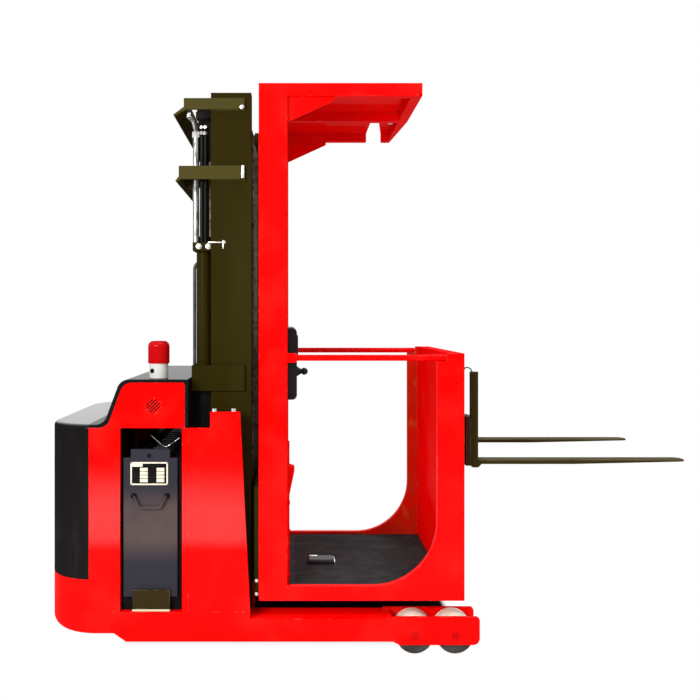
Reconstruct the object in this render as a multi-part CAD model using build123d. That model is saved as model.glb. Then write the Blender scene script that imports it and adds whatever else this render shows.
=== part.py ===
"""Electric order picker: a power unit with side battery, a two-stage mast, an operator platform
with an overhead guard, and a pair of forks on a short lift of their own.

Millimetres, +Z up, forks towards +X. X is measured from the rear of the truck while the pieces
are made, and the finished pieces are moved so that the middle of the truck's length is X = 0.
The truck is symmetric about Y = 0: pieces are made on the left (+Y) and mirrored to the right.
"""
import os

from build123d import *

# General clearances
panel_gap = 0.3         # between panels that lie against each other
shaft_gap = 0.3         # radial, between a shaft and what turns on it
roller_gap = 0.4        # between a roller and the flanges that it runs between
run_gap = 6.0           # between pieces that move past each other

# Power unit
body_width = 1000.0
body_length = 799.0
rear_corner_radius = 200.0
ground_clearance = 54.0
base_top = 168.0
base_wall = 36.0
base_floor = 14.0
bumper_length = 178.0
bumper_bottom = 72.0
bumper_top = 292.0
bumper_edge_radius = 48.0
cover_wall = 8.0
cover_edge_radius = 18.0
panel_thickness = 20.0

# Hood: a low rear deck, a step up, and a raised deck in front of it
hood_low = 888.0
hood_rise = 174.0
hood_step_start = 58.0  # in front of the rear cover
hood_step_run = 64.0
hood_sheet = 12.0
hood_step_radius = 48.0
hood_nose_radius = 10.0

# Panel beside the mast, with a shoulder behind a raised tower, and the battery bay behind it
tower_length = 239.0
tower_rise = 62.0
tower_slant = 39.0
shoulder_length = 85.0
bay_start = 299.0
bay_post = 23.0
bay_drop = 13.0         # the bay's top under the low deck

# Battery
battery_gap = 6.0
battery_inset = 30.0
battery_headroom = 84.0
battery_panel = 12.0
battery_panel_rear_gap = 10.0
battery_panel_front_gap = 20.0
battery_panel_foot = 54.0
battery_shoulder_drop = 33.0
battery_shoulder_share = 0.12   # of the bay's length
handle_drop = 174.0     # the handle's ends under the battery's top
handle_share = 0.54     # of the bay's length
handle_sag_share = 0.39     # of the handle's length
handle_rod = 10.0
handle_reach = 12.0
latch_share = 0.6       # of the bay's length
latch_height = 83.0
latch_thickness = 12.0

# Beacon and horn, both on the right
beacon_offset = 15.0    # in front of the bay's middle
beacon_inset = 100.0
beacon_base_radius = 37.0
beacon_base_height = 58.0
beacon_lens_radius = 42.0
beacon_lens_height = 88.0
horn_offset = 8.0
horn_drop = 102.0
horn_radius = 31.0
horn_depth = 10.0

# Drive unit
drive_x = 165.0
drive_radius = 125.0
drive_width = 80.0
drive_hub_radius = 78.0
drive_axle_radius = 20.0
drive_gap = 12.0
yoke_arm = 14.0
yoke_arm_length = 120.0
yoke_plate_radius = 110.0
yoke_plate = 22.0
deck_plate = 14.0
deck_inset = 22.0
deck_length = 285.0
neck_radius = 80.0
motor_radius = 95.0
motor_height = 310.0
wheel_well_radius = 150.0

# Straddle legs, each ending in a pair of plates with two load wheels between them
leg_length = 883.0
leg_width = 130.0
leg_top = 142.0
leg_fork_length = 334.0
leg_plate = 14.0
leg_plate_bottom = 41.0
leg_plate_top = 148.0
leg_nose_radius = 26.0
wheel_radius = 75.0
wheel_axle_radius = 10.0
wheel_side_gap = 5.0
wheel_setbacks = {"rear": 248.0, "front": 92.0}     # from the leg's end

# Outer mast
mast_top = 2190.0
mast_depth = 160.0
mast_inset = 100.0      # from the body's side
channel_web = 14.0
channel_flange = 18.0
channel_depth = 60.0
tie_plate = 10.0
tie_arm = 12.0
tie_setback = 26.0      # of the arms' ends behind the mast's front

# Inner mast
inner_inset = 10.0      # from the outer channel's faces, front and rear and inside
inner_web = 12.0
inner_flange = 12.0
inner_depth = 50.0
inner_bottom = 110.0
inner_drop = 40.0       # under the outer mast's top
inner_plate = 12.0
mast_roller_z = 350.0
mast_roller_width = 50.0
roller_pin = 16.0

# Lift cylinders and chains
cylinder_gap = 4.0
barrel_radius = 30.0
barrel_bore = 22.0
barrel_drop = 580.0     # under the outer mast's top
barrel_foot = 30.0
rod_radius = 21.0
rod_head = 25.0
rod_head_drop = 50.0    # under the inner mast's top
clamp_height = 34.0
clamp_wall = 10.0
chain_inset = 130.0     # from the inner mast's side
chain_width = 24.0
chain_thickness = 16.0
chain_bottom = 235.0
pulley_radius = 77.0
pulley_width = 34.0
pulley_drop = 100.0
pulley_setback = 12.0   # behind the middle of the mast
pulley_pin = 15.0
pulley_lug = 8.0
anchor_gap = 4.0
anchor_wall = 8.0
anchor_height = 40.0

# Platform
platform_inset = 50.0   # from the body's side
platform_gap = 31.0     # in front of the mast
platform_length = 803.0
platform_bottom = 195.0
column_depth = 112.0
column_width = 60.0
sill_height = 56.0
side_plate = 30.0
side_height = 965.0
front_plate_depth = 106.0
sill_radius = 250.0
wall_recess = 49.0
wall_sheet = 12.0
wall_cap = 20.0
floor_pan = 35.0
mat_thickness = 10.0
mat_gap = 3.0
carriage_rise = 20.0    # above the platform's bottom
carriage_height = 425.0
carriage_plate = 18.0
carriage_inset = 62.0   # from the inner mast's side
carriage_setback = 31.0
carriage_roller_rises = (105.0, 385.0)
carriage_roller_width = 44.0
carriage_anchor_rise = 45.0
back_panel_height = 482.0
back_panel_depth = 36.0
back_panel_stand = 6.0  # in front of the columns
knee_height = 124.0
knee_reach = 28.0
knee_nose = 10.0
knee_width = 70.0       # at the right-hand column only
console_beam_rise = 815.0
console_beam_height = 200.0
console_beam_depth = 80.0
console_rise = 774.0
console_height = 289.0
console_depth = 38.0
console_inset = 110.0
console_radius = 20.0
lever_y = -220.0
lever_rise = 108.0      # above the console's bottom
lever_length = 46.0
lever_stem = 6.0
lever_knob = 15.0
pedal_setback = 87.0    # in front of the columns
pedal_y = -70.0
pedal_length = 113.0
pedal_width = 80.0
pedal_height = 20.0

# Overhead guard
guard_top = 2215.0
guard_length = 639.0
guard_beam = 50.0
guard_beam_width = 40.0
guard_sheet = 6.0
guard_cross = 40.0
gusset_length = 184.0
gusset_height = 99.0
gusset_end = 15.0
gusset_plate = 8.0
notch_back = 146.0      # behind the guard's front
notch_length = 23.0     # at its inner end
notch_flare = 52.0      # by which it is longer at the guard's side
notch_inner_y = 60.0
corner_cut = 30.0       # by which the front slants back to the left corner

# Side gates
gate_drop = 18.0        # under the side plates' top
gate_radius = 12.0
gate_pivot = 18.0       # in front of the column
gate_hub_radius = 16.0
gate_hub_width = 26.0
gate_pin_radius = 6.0
gate_ear = 8.0
gate_ear_gap = 2.0
gate_ear_size = 18.0
gate_end_gap = 5.0
gate_rest = 40.0        # length of the ledge that the bar's end lies on

# Fork lift: two short rails, a ram and the fork carriage
rail_size = 60.0
rail_wall = 12.0
rail_web = 10.0
rail_depth = 50.0
rail_inset = 160.0      # from the platform's side
rail_drop = 50.0        # under the platform
ram_radius = 20.0
ram_bore = 14.0
ram_rod = 13.0
ram_rise = 37.0
ram_height = 418.0
ram_retract = 300.0     # the rod's way down from the stored pose
crosshead_drop = 180.0  # under the side plates' top
crosshead_length = 44.0
crosshead_width = 130.0
crosshead_height = 30.0
fork_roller_rises = (75.0, 181.0)
fork_arm = 14.0
fork_arm_rise = 57.0
fork_arm_height = 142.0
fork_carriage_rise = 7.0
fork_carriage_height = 197.0
shank_gap = 30.0        # from the rails to the forks' shanks
shank_thickness = 31.0
shank_height = 385.0
shank_post = 20.0       # width of the shank above the fork carriage
fork_bottom = 697.0
fork_heel_drop = 14.0   # of the shank's foot under the blade
fork_thickness = 15.0
fork_tip_thickness = 5.0
fork_taper = 380.0      # where the blade starts to thin, in front of the shank
fork_length = 869.0
fork_width = 80.0
fork_inset = 145.0      # of its middle from the platform's side
fork_nose_radius = 30.0
fork_heel_radius = 14.0
fork_toe_radius = 5.0
fork_root_radius = 10.0

# Places across the truck that follow from the sizes above
half_body = body_width / 2
mast_half_width = half_body - mast_inset
channel_inner = mast_half_width - channel_depth
inner_outer = channel_inner - inner_inset
inner_edge = inner_outer - inner_depth
cylinder_y = inner_outer
chain_y = inner_outer - chain_inset
carriage_y = inner_outer - carriage_inset
battery_half_width = half_body - battery_inset
battery_face = battery_half_width + battery_panel
leg_inner = half_body - leg_width
leg_mid = half_body - leg_width / 2
wheel_half = leg_width / 2 - leg_plate - wheel_side_gap
half_platform = half_body - platform_inset
side_inner = half_platform - side_plate
between_columns = half_platform - column_width
gate_y = half_platform - gate_ear - gate_ear_gap - gate_hub_width / 2
rail_outer_y = half_platform - rail_inset
fork_y = half_platform - fork_inset

# Places along the truck
hood_end = body_length - tower_length
bay_end = hood_end - bay_post
bay_length = bay_end - bay_start
bay_mid = (bay_start + bay_end) / 2
handle_span = bay_length * handle_share
handle_sag = handle_span * handle_sag_share
leg_end = body_length + leg_length
leg_fork_start = leg_end - leg_fork_length
mast_front = body_length
mast_rear = mast_front - mast_depth
mast_mid = (mast_rear + mast_front) / 2
inner_rear = mast_rear + inner_inset
inner_front = mast_front - inner_inset
cylinder_x = mast_rear - barrel_radius - cylinder_gap
pulley_x = mast_mid - pulley_setback
chain_rear_x = pulley_x - pulley_radius - chain_thickness / 2
chain_front_x = pulley_x + pulley_radius + chain_thickness / 2
column_rear = mast_front + platform_gap
column_front = column_rear + column_depth
platform_end = column_rear + platform_length
front_plate_rear = platform_end - front_plate_depth
wall_x = front_plate_rear + wall_recess
guard_front = column_rear + guard_length
gate_x = column_front + gate_pivot
rail_rear = wall_x + wall_sheet
rail_front = rail_rear + rail_size
rail_mid = (rail_rear + rail_front) / 2
shank_rear = rail_front + shank_gap
shank_front = shank_rear + shank_thickness
fork_tip = shank_rear + fork_length
overall_length = fork_tip

# Heights
hood_high = hood_low + hood_rise
bay_top = hood_low - bay_drop
battery_top = bay_top - battery_headroom
battery_shoulder = battery_top - battery_shoulder_drop
base_floor_top = ground_clearance + base_floor
inner_top = mast_top - inner_drop
barrel_top = mast_top - barrel_drop
rod_head_z = inner_top - rod_head_drop
pulley_z = inner_top - pulley_drop
side_top = platform_bottom + side_height
floor_top = platform_bottom + floor_pan
mat_top = floor_top + mat_thickness
gate_z = side_top - gate_drop
guard_bottom = guard_top - guard_beam
blade_bottom = fork_bottom + fork_heel_drop
fork_top = blade_bottom + fork_thickness
to_middle = Pos(-overall_length / 2, 0, 0)

parts = {}


def block(x, y, z):
    """A box between the pairs x, y and z."""
    size = [high - low for low, high in (x, y, z)]
    centre = [(low + high) / 2 for low, high in (x, y, z)]
    return Pos(*centre) * Box(*size)


def around(middle, half):
    """The pair of values half to each side of the middle."""
    return (middle - half, middle + half)


def bar_x(y, z, radius, x):
    """A round bar along X between the pair x."""
    return Pos((x[0] + x[1]) / 2, y, z) * Rot(0, 90, 0) * Cylinder(radius, x[1] - x[0])


def bar_y(x, z, radius, y):
    """A round bar along Y between the pair y."""
    return Pos(x, (y[0] + y[1]) / 2, z) * Rot(90, 0, 0) * Cylinder(radius, y[1] - y[0])


def bar_z(x, y, radius, z):
    """A round bar along Z between the pair z."""
    return Pos(x, y, (z[0] + z[1]) / 2) * Cylinder(radius, z[1] - z[0])


def plate_xz(points, y, radii=()):
    """A plate with the outline points (x, z), between the pair y. radii has one value for each
    point, and rounds the corner at that point where it isn't 0."""
    outline = Polyline(*[(px, y[0], pz) for px, pz in points], close=True)
    plate = extrude(make_face(outline), y[1] - y[0], dir=(0, 1, 0))
    for (px, pz), radius in zip(points, radii):
        if radius:
            corner = Vector(px, (y[0] + y[1]) / 2, pz)
            edge = plate.edges().filter_by(Axis.Y).sort_by_distance(corner)[0]
            plate = fillet(edge, radius)
    return plate


def mirrored(shape):
    """The right-hand copy of a left-hand piece."""
    return mirror(shape, about=Plane.XZ)


def both(shape):
    """The left and right copies of a piece as one shape."""
    return Compound([*shape.solids(), *mirrored(shape).solids()])


def add(name, shape):
    """Keeps a piece, moved so that the middle of the truck's length is at X = 0."""
    parts[name] = to_middle * shape


def add_sides(name, shape):
    """Keeps a piece and its mirror image as two pieces."""
    add(name + "_left", shape)
    add(name + "_right", mirrored(shape))


# Power unit: base tub with the rear bumper, and the deck that the drive unit hangs in
def slab(inset, length, z):
    """The power unit's plan, inset all round and round at the rear corners, between the pair z."""
    half = half_body - inset
    plan = block((inset, body_length), (-half, half), z)
    corners = plan.edges().filter_by(Axis.Z).sort_by(Axis.X)[:2]
    return fillet(corners, rear_corner_radius - inset) & block((0, length), (-half, half), z)


def make_base():
    shell = slab(0, body_length, (bumper_bottom, base_top))
    shell += slab(0, bumper_length, (bumper_bottom, bumper_top))
    low = shell.edges().group_by(Axis.Z)[0]
    shell = fillet([edge for edge in low if edge.center().X < body_length - 1], bumper_edge_radius)
    skirt_rear = bumper_length + bumper_edge_radius
    skirt_front = skirt_rear + 2 * bumper_edge_radius
    skirt_top = bumper_bottom + bumper_edge_radius
    skirt = [(skirt_rear, skirt_top), (skirt_front, ground_clearance), (body_length, ground_clearance),
             (body_length, skirt_top)]
    shell += plate_xz(skirt, (-half_body, half_body))
    inside = half_body - base_wall
    shell -= slab(base_wall, body_length, (bumper_bottom + base_floor, bumper_top))
    shell -= block((skirt_front, body_length), (-inside, inside), (base_floor_top, base_top))
    shell -= bar_z(drive_x, 0, wheel_well_radius, (0, bumper_top))
    deck = slab(deck_inset, deck_length, (bumper_top, bumper_top + deck_plate))
    return shell + deck - bar_z(drive_x, 0, neck_radius + shaft_gap, (0, hood_low))


# Power unit: hood, covers and side panels
def hood_plate(shift, start, bottom, y):
    """The hood's side view, moved inwards by shift: a low deck, a step and a raised deck."""
    low, high = hood_low - shift, hood_high - shift
    step = bumper_length + hood_step_start + shift
    outline = [(start, bottom), (start, low), (step, low), (step + hood_step_run, high),
               (hood_end - shift, high), (hood_end - shift, bottom)]
    return plate_xz(outline, y, [0, 0, hood_step_radius, hood_step_radius, hood_nose_radius, 0])


def make_hood():
    y = (-half_body, half_body)
    inner = hood_plate(hood_sheet, bumper_length - hood_sheet, bay_top - hood_sheet, y)
    return hood_plate(0, bumper_length, bay_top, y) - inner


def make_rear_cover():
    outer = slab(0, bumper_length - panel_gap, (bumper_top, hood_low))
    rim = [edge for edge in outer.edges().group_by(Axis.Z)[-1] if edge.center().X < bumper_length - 1]
    outer = fillet(rim, cover_edge_radius)
    return outer - slab(cover_wall, bumper_length, (bumper_top, hood_low - cover_wall))


def make_side_panel():
    y = (half_body - panel_thickness, half_body)
    panel = hood_plate(hood_sheet + panel_gap, bumper_length + panel_gap, base_top, y)
    panel += block((bay_end, hood_end), y, (base_top, bay_top - panel_gap))
    return panel - block((bay_start, bay_end), y, (base_top, bay_top))


def make_tower_panel():
    rear = hood_end + panel_gap
    shoulder_end = hood_end + shoulder_length
    tower_top = bay_top + tower_rise
    outline = [(rear, base_top), (rear, bay_top), (shoulder_end, bay_top), (shoulder_end, tower_top),
               (body_length - tower_slant, tower_top), (body_length, base_top)]
    return plate_xz(outline, (half_body - panel_thickness, half_body))


horn_x = bay_mid + horn_offset
horn_z = hood_high - horn_drop
horn_hole = bar_y(horn_x, horn_z, horn_radius, (-half_body, 0))
add("base_frame", make_base())
add("hood_top", make_hood())
add("rear_cover", make_rear_cover())
add("side_panels", both(make_side_panel()) - horn_hole)
add("tower_panels", both(make_tower_panel()))
add("horn_grille", bar_y(horn_x, horn_z, horn_radius - panel_gap, (-half_body, horn_depth - half_body)))


# Battery: one heavy block across the truck, with an end panel, a bail handle and a latch on each side
battery_x = (bay_start + battery_gap, bay_end - battery_gap)
battery_panel_x = (bay_start + battery_panel_rear_gap, bay_end - battery_panel_front_gap)
battery_panel_mid = sum(battery_panel_x) / 2


def make_battery_panel():
    rear, front = battery_panel_x
    bottom = base_top + battery_panel_foot
    step = bay_length * battery_shoulder_share
    outline = [(rear, bottom), (rear, battery_shoulder), (rear + step, battery_shoulder),
               (rear + step, battery_top), (front - step, battery_top), (front - step, battery_shoulder),
               (front, battery_shoulder), (front, bottom)]
    return plate_xz(outline, (battery_half_width, battery_face))


def make_handle():
    top = battery_top - handle_drop
    out = battery_face + handle_reach
    rear, front = around(battery_panel_mid, handle_span / 2)
    grip_rear, grip_front = around(battery_panel_mid, (handle_span - handle_sag) / 2)
    route = FilletPolyline((rear, battery_face, top), (rear, out, top), (grip_rear, out, top - handle_sag),
                           (grip_front, out, top - handle_sag), (front, out, top), (front, battery_face, top),
                           radius=handle_rod)
    start = Plane(origin=(rear, battery_face, top), z_dir=(0, 1, 0))
    return sweep(start * Circle(handle_rod / 2), path=route)


def make_latch():
    x = around(bay_mid, bay_length * latch_share / 2)
    face = battery_face + latch_thickness
    tongue = block(x, (battery_face, face), (base_top, base_top + latch_height))
    return tongue + bar_x(face, base_top + latch_thickness / 2, latch_thickness / 2, x)


add("battery", block(battery_x, (-battery_half_width, battery_half_width), (base_top, battery_shoulder)))
add("battery_panels", both(make_battery_panel() + make_handle()))
add("battery_latches", both(make_latch()))


# Beacon: a pale foot with a red lens on it
beacon_foot = Pos(bay_mid + beacon_offset, beacon_inset - half_body, hood_high)
lens = extrude(Circle(beacon_lens_radius), beacon_lens_height)
lens = fillet(lens.edges().group_by(Axis.Z)[-1], beacon_lens_radius / 2)
add("beacon_base", beacon_foot * extrude(Circle(beacon_base_radius), beacon_base_height))
add("beacon_lens", beacon_foot * Pos(0, 0, beacon_base_height) * lens)


# Drive unit: steered yoke with its axle, the motor on top of it, and the drive wheel
motor_foot = bumper_top + deck_plate + run_gap


def make_yoke():
    arm_inner = drive_width / 2 + drive_gap
    arm_y = (arm_inner, arm_inner + yoke_arm)
    plate_top = bumper_top - run_gap
    arm = block(around(drive_x, yoke_arm_length / 2), arm_y, (drive_radius, plate_top - yoke_plate / 2))
    arm += bar_y(drive_x, drive_radius, yoke_arm_length / 2, arm_y)
    axle = bar_y(drive_x, drive_radius, drive_axle_radius, (-arm_y[1], arm_y[1]))
    plate = bar_z(drive_x, 0, yoke_plate_radius, (plate_top - yoke_plate, plate_top))
    neck = bar_z(drive_x, 0, neck_radius, (plate_top, motor_foot))
    return arm + mirrored(arm) + axle + plate + neck


def make_drive_wheel():
    half = drive_width / 2
    wheel = bar_y(drive_x, drive_radius, drive_radius, (-half, half))
    wheel = fillet(wheel.edges(), drive_gap / 2)
    dish = bar_y(drive_x, drive_radius, drive_hub_radius, (half - drive_gap, half))
    wheel -= dish
    wheel -= mirrored(dish)
    wheel += bar_y(drive_x, drive_radius, drive_hub_radius / 2, (-half, half))
    return wheel - bar_y(drive_x, drive_radius, drive_axle_radius + shaft_gap, (-half, half))


add("steering_yoke", make_yoke())
add("drive_motor", bar_z(drive_x, 0, motor_radius, (motor_foot, motor_foot + motor_height)))
add("drive_wheel", make_drive_wheel())


# Straddle legs with tandem load wheels
def make_leg():
    leg = block((body_length, leg_fork_start), (leg_inner, half_body), (ground_clearance, leg_top))
    root = leg_fork_start - leg_nose_radius
    outline = [(root, ground_clearance), (leg_fork_start, ground_clearance),
               (leg_fork_start + leg_nose_radius, leg_plate_bottom), (leg_end, leg_plate_bottom),
               (leg_end, leg_plate_top), (root, leg_plate_top)]
    radii = [0, 0, 0, leg_nose_radius, leg_nose_radius / 2, 0]
    for inner in (leg_inner, half_body - leg_plate):
        leg += plate_xz(outline, (inner, inner + leg_plate), radii)
    for setback in wheel_setbacks.values():
        leg += bar_y(leg_end - setback, wheel_radius, wheel_axle_radius, (leg_inner, half_body))
    return leg


def make_load_wheel(x):
    y = around(leg_mid, wheel_half)
    wheel = bar_y(x, wheel_radius, wheel_radius, y)
    wheel = chamfer(wheel.edges(), wheel_side_gap / 2)
    return wheel - bar_y(x, wheel_radius, wheel_axle_radius + shaft_gap, y)


add("legs", both(make_leg()))
for place, setback in wheel_setbacks.items():
    add_sides("load_wheel_" + place, make_load_wheel(leg_end - setback))


# Outer mast: two channels, three rear ties, the lift cylinders and their clamps
def make_channel(x, outer_y, depth, web, flange, z):
    """A mast channel with its web outside at outer_y, open towards the middle of the truck."""
    channel = block(x, (outer_y - depth, outer_y), z)
    return channel - block((x[0] + flange, x[1] - flange), (outer_y - depth, outer_y - web), z)


# Rear ties: reach behind the mast, top under the mast's top, height, reach of a sloped lip, chain anchors
tie_table = [
    (106.0, 24.0, 44.0, 42.0, False),
    (126.0, 291.0, 52.0, 14.0, True),
    (75.0, 1079.0, 100.0, 0.0, False),
]


def make_tie(reach, drop, height, lip, anchors):
    """A U round the back of the mast: an arm on each channel and a plate behind them."""
    rear, top = mast_rear - reach, mast_top - drop
    front, bottom = rear + tie_plate, top - height
    width = mast_half_width + tie_arm
    arm = block((rear, mast_front - tie_setback), (mast_half_width, width), (bottom, top))
    tie = arm + mirrored(arm) + block((rear, front), (-width, width), (bottom, top))
    if lip:
        low = bottom - lip / 2
        outline = [(front, bottom + tie_plate), (rear, bottom + tie_plate), (rear - lip, low),
                   (rear - lip + tie_plate / 2, low - tie_plate / 2), (front, bottom)]
        tie += plate_xz(outline, (-width, width))
    if anchors:
        anchor = make_anchor(chain_rear_x, (front, None), (bottom + anchor_gap, bottom + anchor_height))
        tie += anchor
        tie += mirrored(anchor)
    return tie


def make_anchor(chain_x, ends, z):
    """A lug with an eye that the chain at chain_x runs through. ends gives the side that is
    fastened, rear or front, and None for the free side."""
    eye_x = around(chain_x, chain_thickness / 2 + anchor_gap)
    rear = eye_x[0] - anchor_wall if ends[0] is None else ends[0]
    front = eye_x[1] + anchor_wall if ends[1] is None else ends[1]
    half = chain_width / 2 + anchor_gap
    lug = block((rear, front), around(chain_y, half + anchor_wall), z)
    return lug - block(eye_x, around(chain_y, half), z)


def make_cylinder():
    barrel = bar_z(cylinder_x, cylinder_y, barrel_radius, (base_floor_top, barrel_top))
    return barrel - bar_z(cylinder_x, cylinder_y, barrel_bore, (base_floor_top + barrel_foot, barrel_top))


def make_clamp():
    top = barrel_top - clamp_wall
    clamp = block((cylinder_x - barrel_radius - clamp_wall, mast_rear),
                  (cylinder_y - barrel_radius - clamp_wall, mast_half_width - channel_web),
                  (top - clamp_height, top))
    return clamp - bar_z(cylinder_x, cylinder_y, barrel_radius, (0, barrel_top))


add("outer_channels", both(make_channel((mast_rear, mast_front), mast_half_width, channel_depth,
                                        channel_web, channel_flange, (base_floor_top, mast_top))))
add("mast_ties", Compound([make_tie(*row).solid() for row in tie_table]))
add("lift_cylinders", both(make_cylinder()))
add("cylinder_clamps", both(make_clamp()))


# Inner mast: two channels with rollers and rod heads, cross plates, piston rods, pulleys and chains
# Cross plates: top under the inner mast's top, height. The first one carries the chain pulleys.
cross_plates = [
    (0.0, 200.0),
    (940.0, 60.0),
    (1770.0, 80.0),
]
pulley_half = pulley_width / 2 + run_gap


def make_inner_channel():
    channel = make_channel((inner_rear, inner_front), inner_outer, inner_depth, inner_web, inner_flange,
                           (inner_bottom, inner_top))
    roller_radius = mast_depth / 2 - channel_flange - roller_gap
    roller_y = (inner_outer + run_gap, inner_outer + mast_roller_width)
    channel += bar_y(mast_mid, mast_roller_z, roller_radius, roller_y)
    channel += bar_y(mast_mid, mast_roller_z, roller_pin, (inner_outer - inner_web, roller_y[0]))
    head_z = (rod_head_z, rod_head_z + rod_head)
    head_front = mast_rear - run_gap
    head_inner = cylinder_y - barrel_radius
    channel += block((cylinder_x - barrel_radius, head_front), around(cylinder_y, barrel_radius), head_z)
    return channel + block((head_front, inner_rear + inner_flange), (head_inner, inner_outer), head_z)


def make_cross_plate(drop, height):
    top = inner_top - drop
    return block((inner_rear, inner_rear + inner_plate), (-inner_edge, inner_edge), (top - height, top))


def make_pulley_plate(drop, height):
    """The top cross plate, with a window for each chain pulley and lugs that hold its pin."""
    plate = make_cross_plate(drop, height)
    tall = pulley_radius + chain_thickness + run_gap
    lug_x = (inner_rear + inner_plate, pulley_x + 2 * pulley_pin)
    lug_z = around(pulley_z, 2 * pulley_pin)
    window = block((inner_rear, lug_x[0]), around(chain_y, pulley_half), (inner_bottom, pulley_z + tall))
    bay = bar_y(pulley_x, pulley_z, pulley_pin, around(chain_y, pulley_half + pulley_lug))
    for y in (chain_y - pulley_half - pulley_lug, chain_y + pulley_half):
        bay += block(lug_x, (y, y + pulley_lug), lug_z)
    return plate - window - mirrored(window) + bay + mirrored(bay)


def make_pulley():
    y = around(chain_y, pulley_width / 2)
    pulley = bar_y(pulley_x, pulley_z, pulley_radius, y)
    return pulley - bar_y(pulley_x, pulley_z, pulley_pin + shaft_gap, y)


def make_chain():
    """One chain: the half turn over the pulley and the two straight strands."""
    y = around(chain_y, chain_width / 2)
    inner = pulley_radius + shaft_gap
    outer = inner + chain_thickness
    chain = bar_y(pulley_x, pulley_z, outer, y) - bar_y(pulley_x, pulley_z, inner, y)
    chain -= block(around(pulley_x, outer), y, (pulley_z - outer, pulley_z))
    chain += block((pulley_x - outer, pulley_x - inner), y, (chain_bottom, pulley_z))
    return chain + block((pulley_x + inner, pulley_x + outer), y, (chain_bottom, pulley_z))


def make_rod():
    return bar_z(cylinder_x, cylinder_y, rod_radius, (base_floor_top + barrel_foot + run_gap, rod_head_z))


add("inner_channels", both(make_inner_channel()))
plates = [make_pulley_plate(*cross_plates[0]), *[make_cross_plate(*row) for row in cross_plates[1:]]]
add("inner_cross_plates", Compound([plate.solid() for plate in plates]))
add("piston_rods", both(make_rod()))
add("chain_pulleys", both(make_pulley()))
add("lift_chains", both(make_chain()))


# Platform: carriage, columns, floor and front wall
def make_carriage():
    """A back plate on the columns, and two side plates with the rollers that run in the inner mast."""
    bottom = platform_bottom + carriage_rise
    z = (bottom, bottom + carriage_height)
    plate_y = (carriage_y - carriage_plate, carriage_y)
    roller_y = (carriage_y + run_gap, carriage_y + carriage_roller_width)
    roller_radius = mast_depth / 2 - inner_inset - inner_flange - roller_gap
    side = block((inner_rear + carriage_setback, column_rear), plate_y, z)
    for rise in carriage_roller_rises:
        side += bar_y(mast_mid, platform_bottom + rise, roller_radius, roller_y)
        side += bar_y(mast_mid, platform_bottom + rise, roller_pin, (plate_y[0], roller_y[0]))
    back_rear = column_rear - carriage_plate
    anchor_z = platform_bottom + carriage_anchor_rise
    side += make_anchor(chain_front_x, (None, back_rear), (anchor_z, anchor_z + anchor_height))
    back = block((back_rear, column_rear), (-half_platform, half_platform), z)
    return back + side + mirrored(side)


def make_column():
    """A column with the two ears and the pin that carry the side gate."""
    column = block((column_rear, column_front), (between_columns, half_platform),
                   (platform_bottom, guard_bottom))
    inner_ear = gate_y - gate_hub_width / 2 - gate_ear_gap - gate_ear
    for y in (inner_ear, half_platform - gate_ear):
        column += block((column_front, gate_x + gate_ear_size), (y, y + gate_ear),
                        around(gate_z, gate_ear_size))
    return column + bar_y(gate_x, gate_z, gate_pin_radius, (inner_ear, half_platform))


def make_platform_side():
    """A side plate: a low sill and an upright front, joined by a large arc, with a rest for the gate."""
    y = (side_inner, half_platform)
    plate = block((column_front, platform_end), y, (platform_bottom, side_top))
    opening = block((column_front, front_plate_rear), y, (platform_bottom + sill_height, side_top))
    corner = opening.edges().filter_by(Axis.Y).sort_by(Axis.Z)[:2].sort_by(Axis.X)[-1]
    plate -= fillet(corner, sill_radius)
    rest = gate_z - gate_radius - panel_gap
    return plate - block((front_plate_rear, front_plate_rear + gate_rest), y, (rest, side_top))


def make_floor():
    z = (platform_bottom, floor_top)
    pan = block((column_front, wall_x), (-side_inner, side_inner), z)
    return pan + block((column_rear, column_front), (-between_columns, between_columns), z)


def make_mat():
    half = side_inner - mat_gap
    rear = column_front + back_panel_stand + mat_gap
    return block((rear, wall_x - mat_gap), (-half, half), (floor_top, mat_top))


def make_wall():
    y = (-side_inner, side_inner)
    wall = block((wall_x, wall_x + wall_sheet), y, (platform_bottom, side_top))
    return wall + block((wall_x, platform_end), y, (side_top - wall_cap, side_top))


def make_back_panel():
    """The panel between the columns, with a knee pad that stands out at its right-hand top corner."""
    front = column_front + back_panel_stand
    knee = column_front + knee_reach
    top = floor_top + back_panel_height
    panel = block((column_front - back_panel_depth, front), (-between_columns, between_columns),
                  (floor_top, top - knee_nose))
    pad = [(column_front, top - knee_height), (front, top - knee_height), (knee, top - 2 * knee_nose),
           (knee, top - knee_nose), (column_front, top)]
    return panel + plate_xz(pad, (-between_columns, knee_width - between_columns))


def make_console_beam():
    bottom = platform_bottom + console_beam_rise
    return block((column_front - console_beam_depth, column_front), (-between_columns, between_columns),
                 (bottom, bottom + console_beam_height))


def make_console():
    bottom = platform_bottom + console_rise
    half = half_platform - console_inset
    face = column_front + console_depth
    box = block((column_front, face), (-half, half), (bottom, bottom + console_height))
    front = box.edges().filter_by(Axis.Y).sort_by(Axis.X)[-2:]
    return fillet(front, console_radius)


def make_lever():
    face = column_front + console_depth
    z = platform_bottom + console_rise + lever_rise
    knob_x = face + lever_length - lever_knob
    return bar_x(lever_y, z, lever_stem, (face, knob_x)) + Pos(knob_x, lever_y, z) * Sphere(lever_knob)


def make_pedal():
    rear = column_front + pedal_setback
    pedal = block((rear, rear + pedal_length), around(pedal_y, pedal_width / 2),
                  (mat_top, mat_top + pedal_height))
    return chamfer(pedal.edges().group_by(Axis.Z)[-1], pedal_height / 3)


add("platform_carriage", make_carriage())
add("columns", both(make_column()))
add("platform_sides", both(make_platform_side()))
add("platform_floor", make_floor())
add("floor_mat", make_mat())
add("front_wall", make_wall())
add("back_panel", make_back_panel())
add("console_beam", make_console_beam())
add("console", make_console())
add("control_lever", make_lever())
add("foot_pedal", make_pedal())


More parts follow.
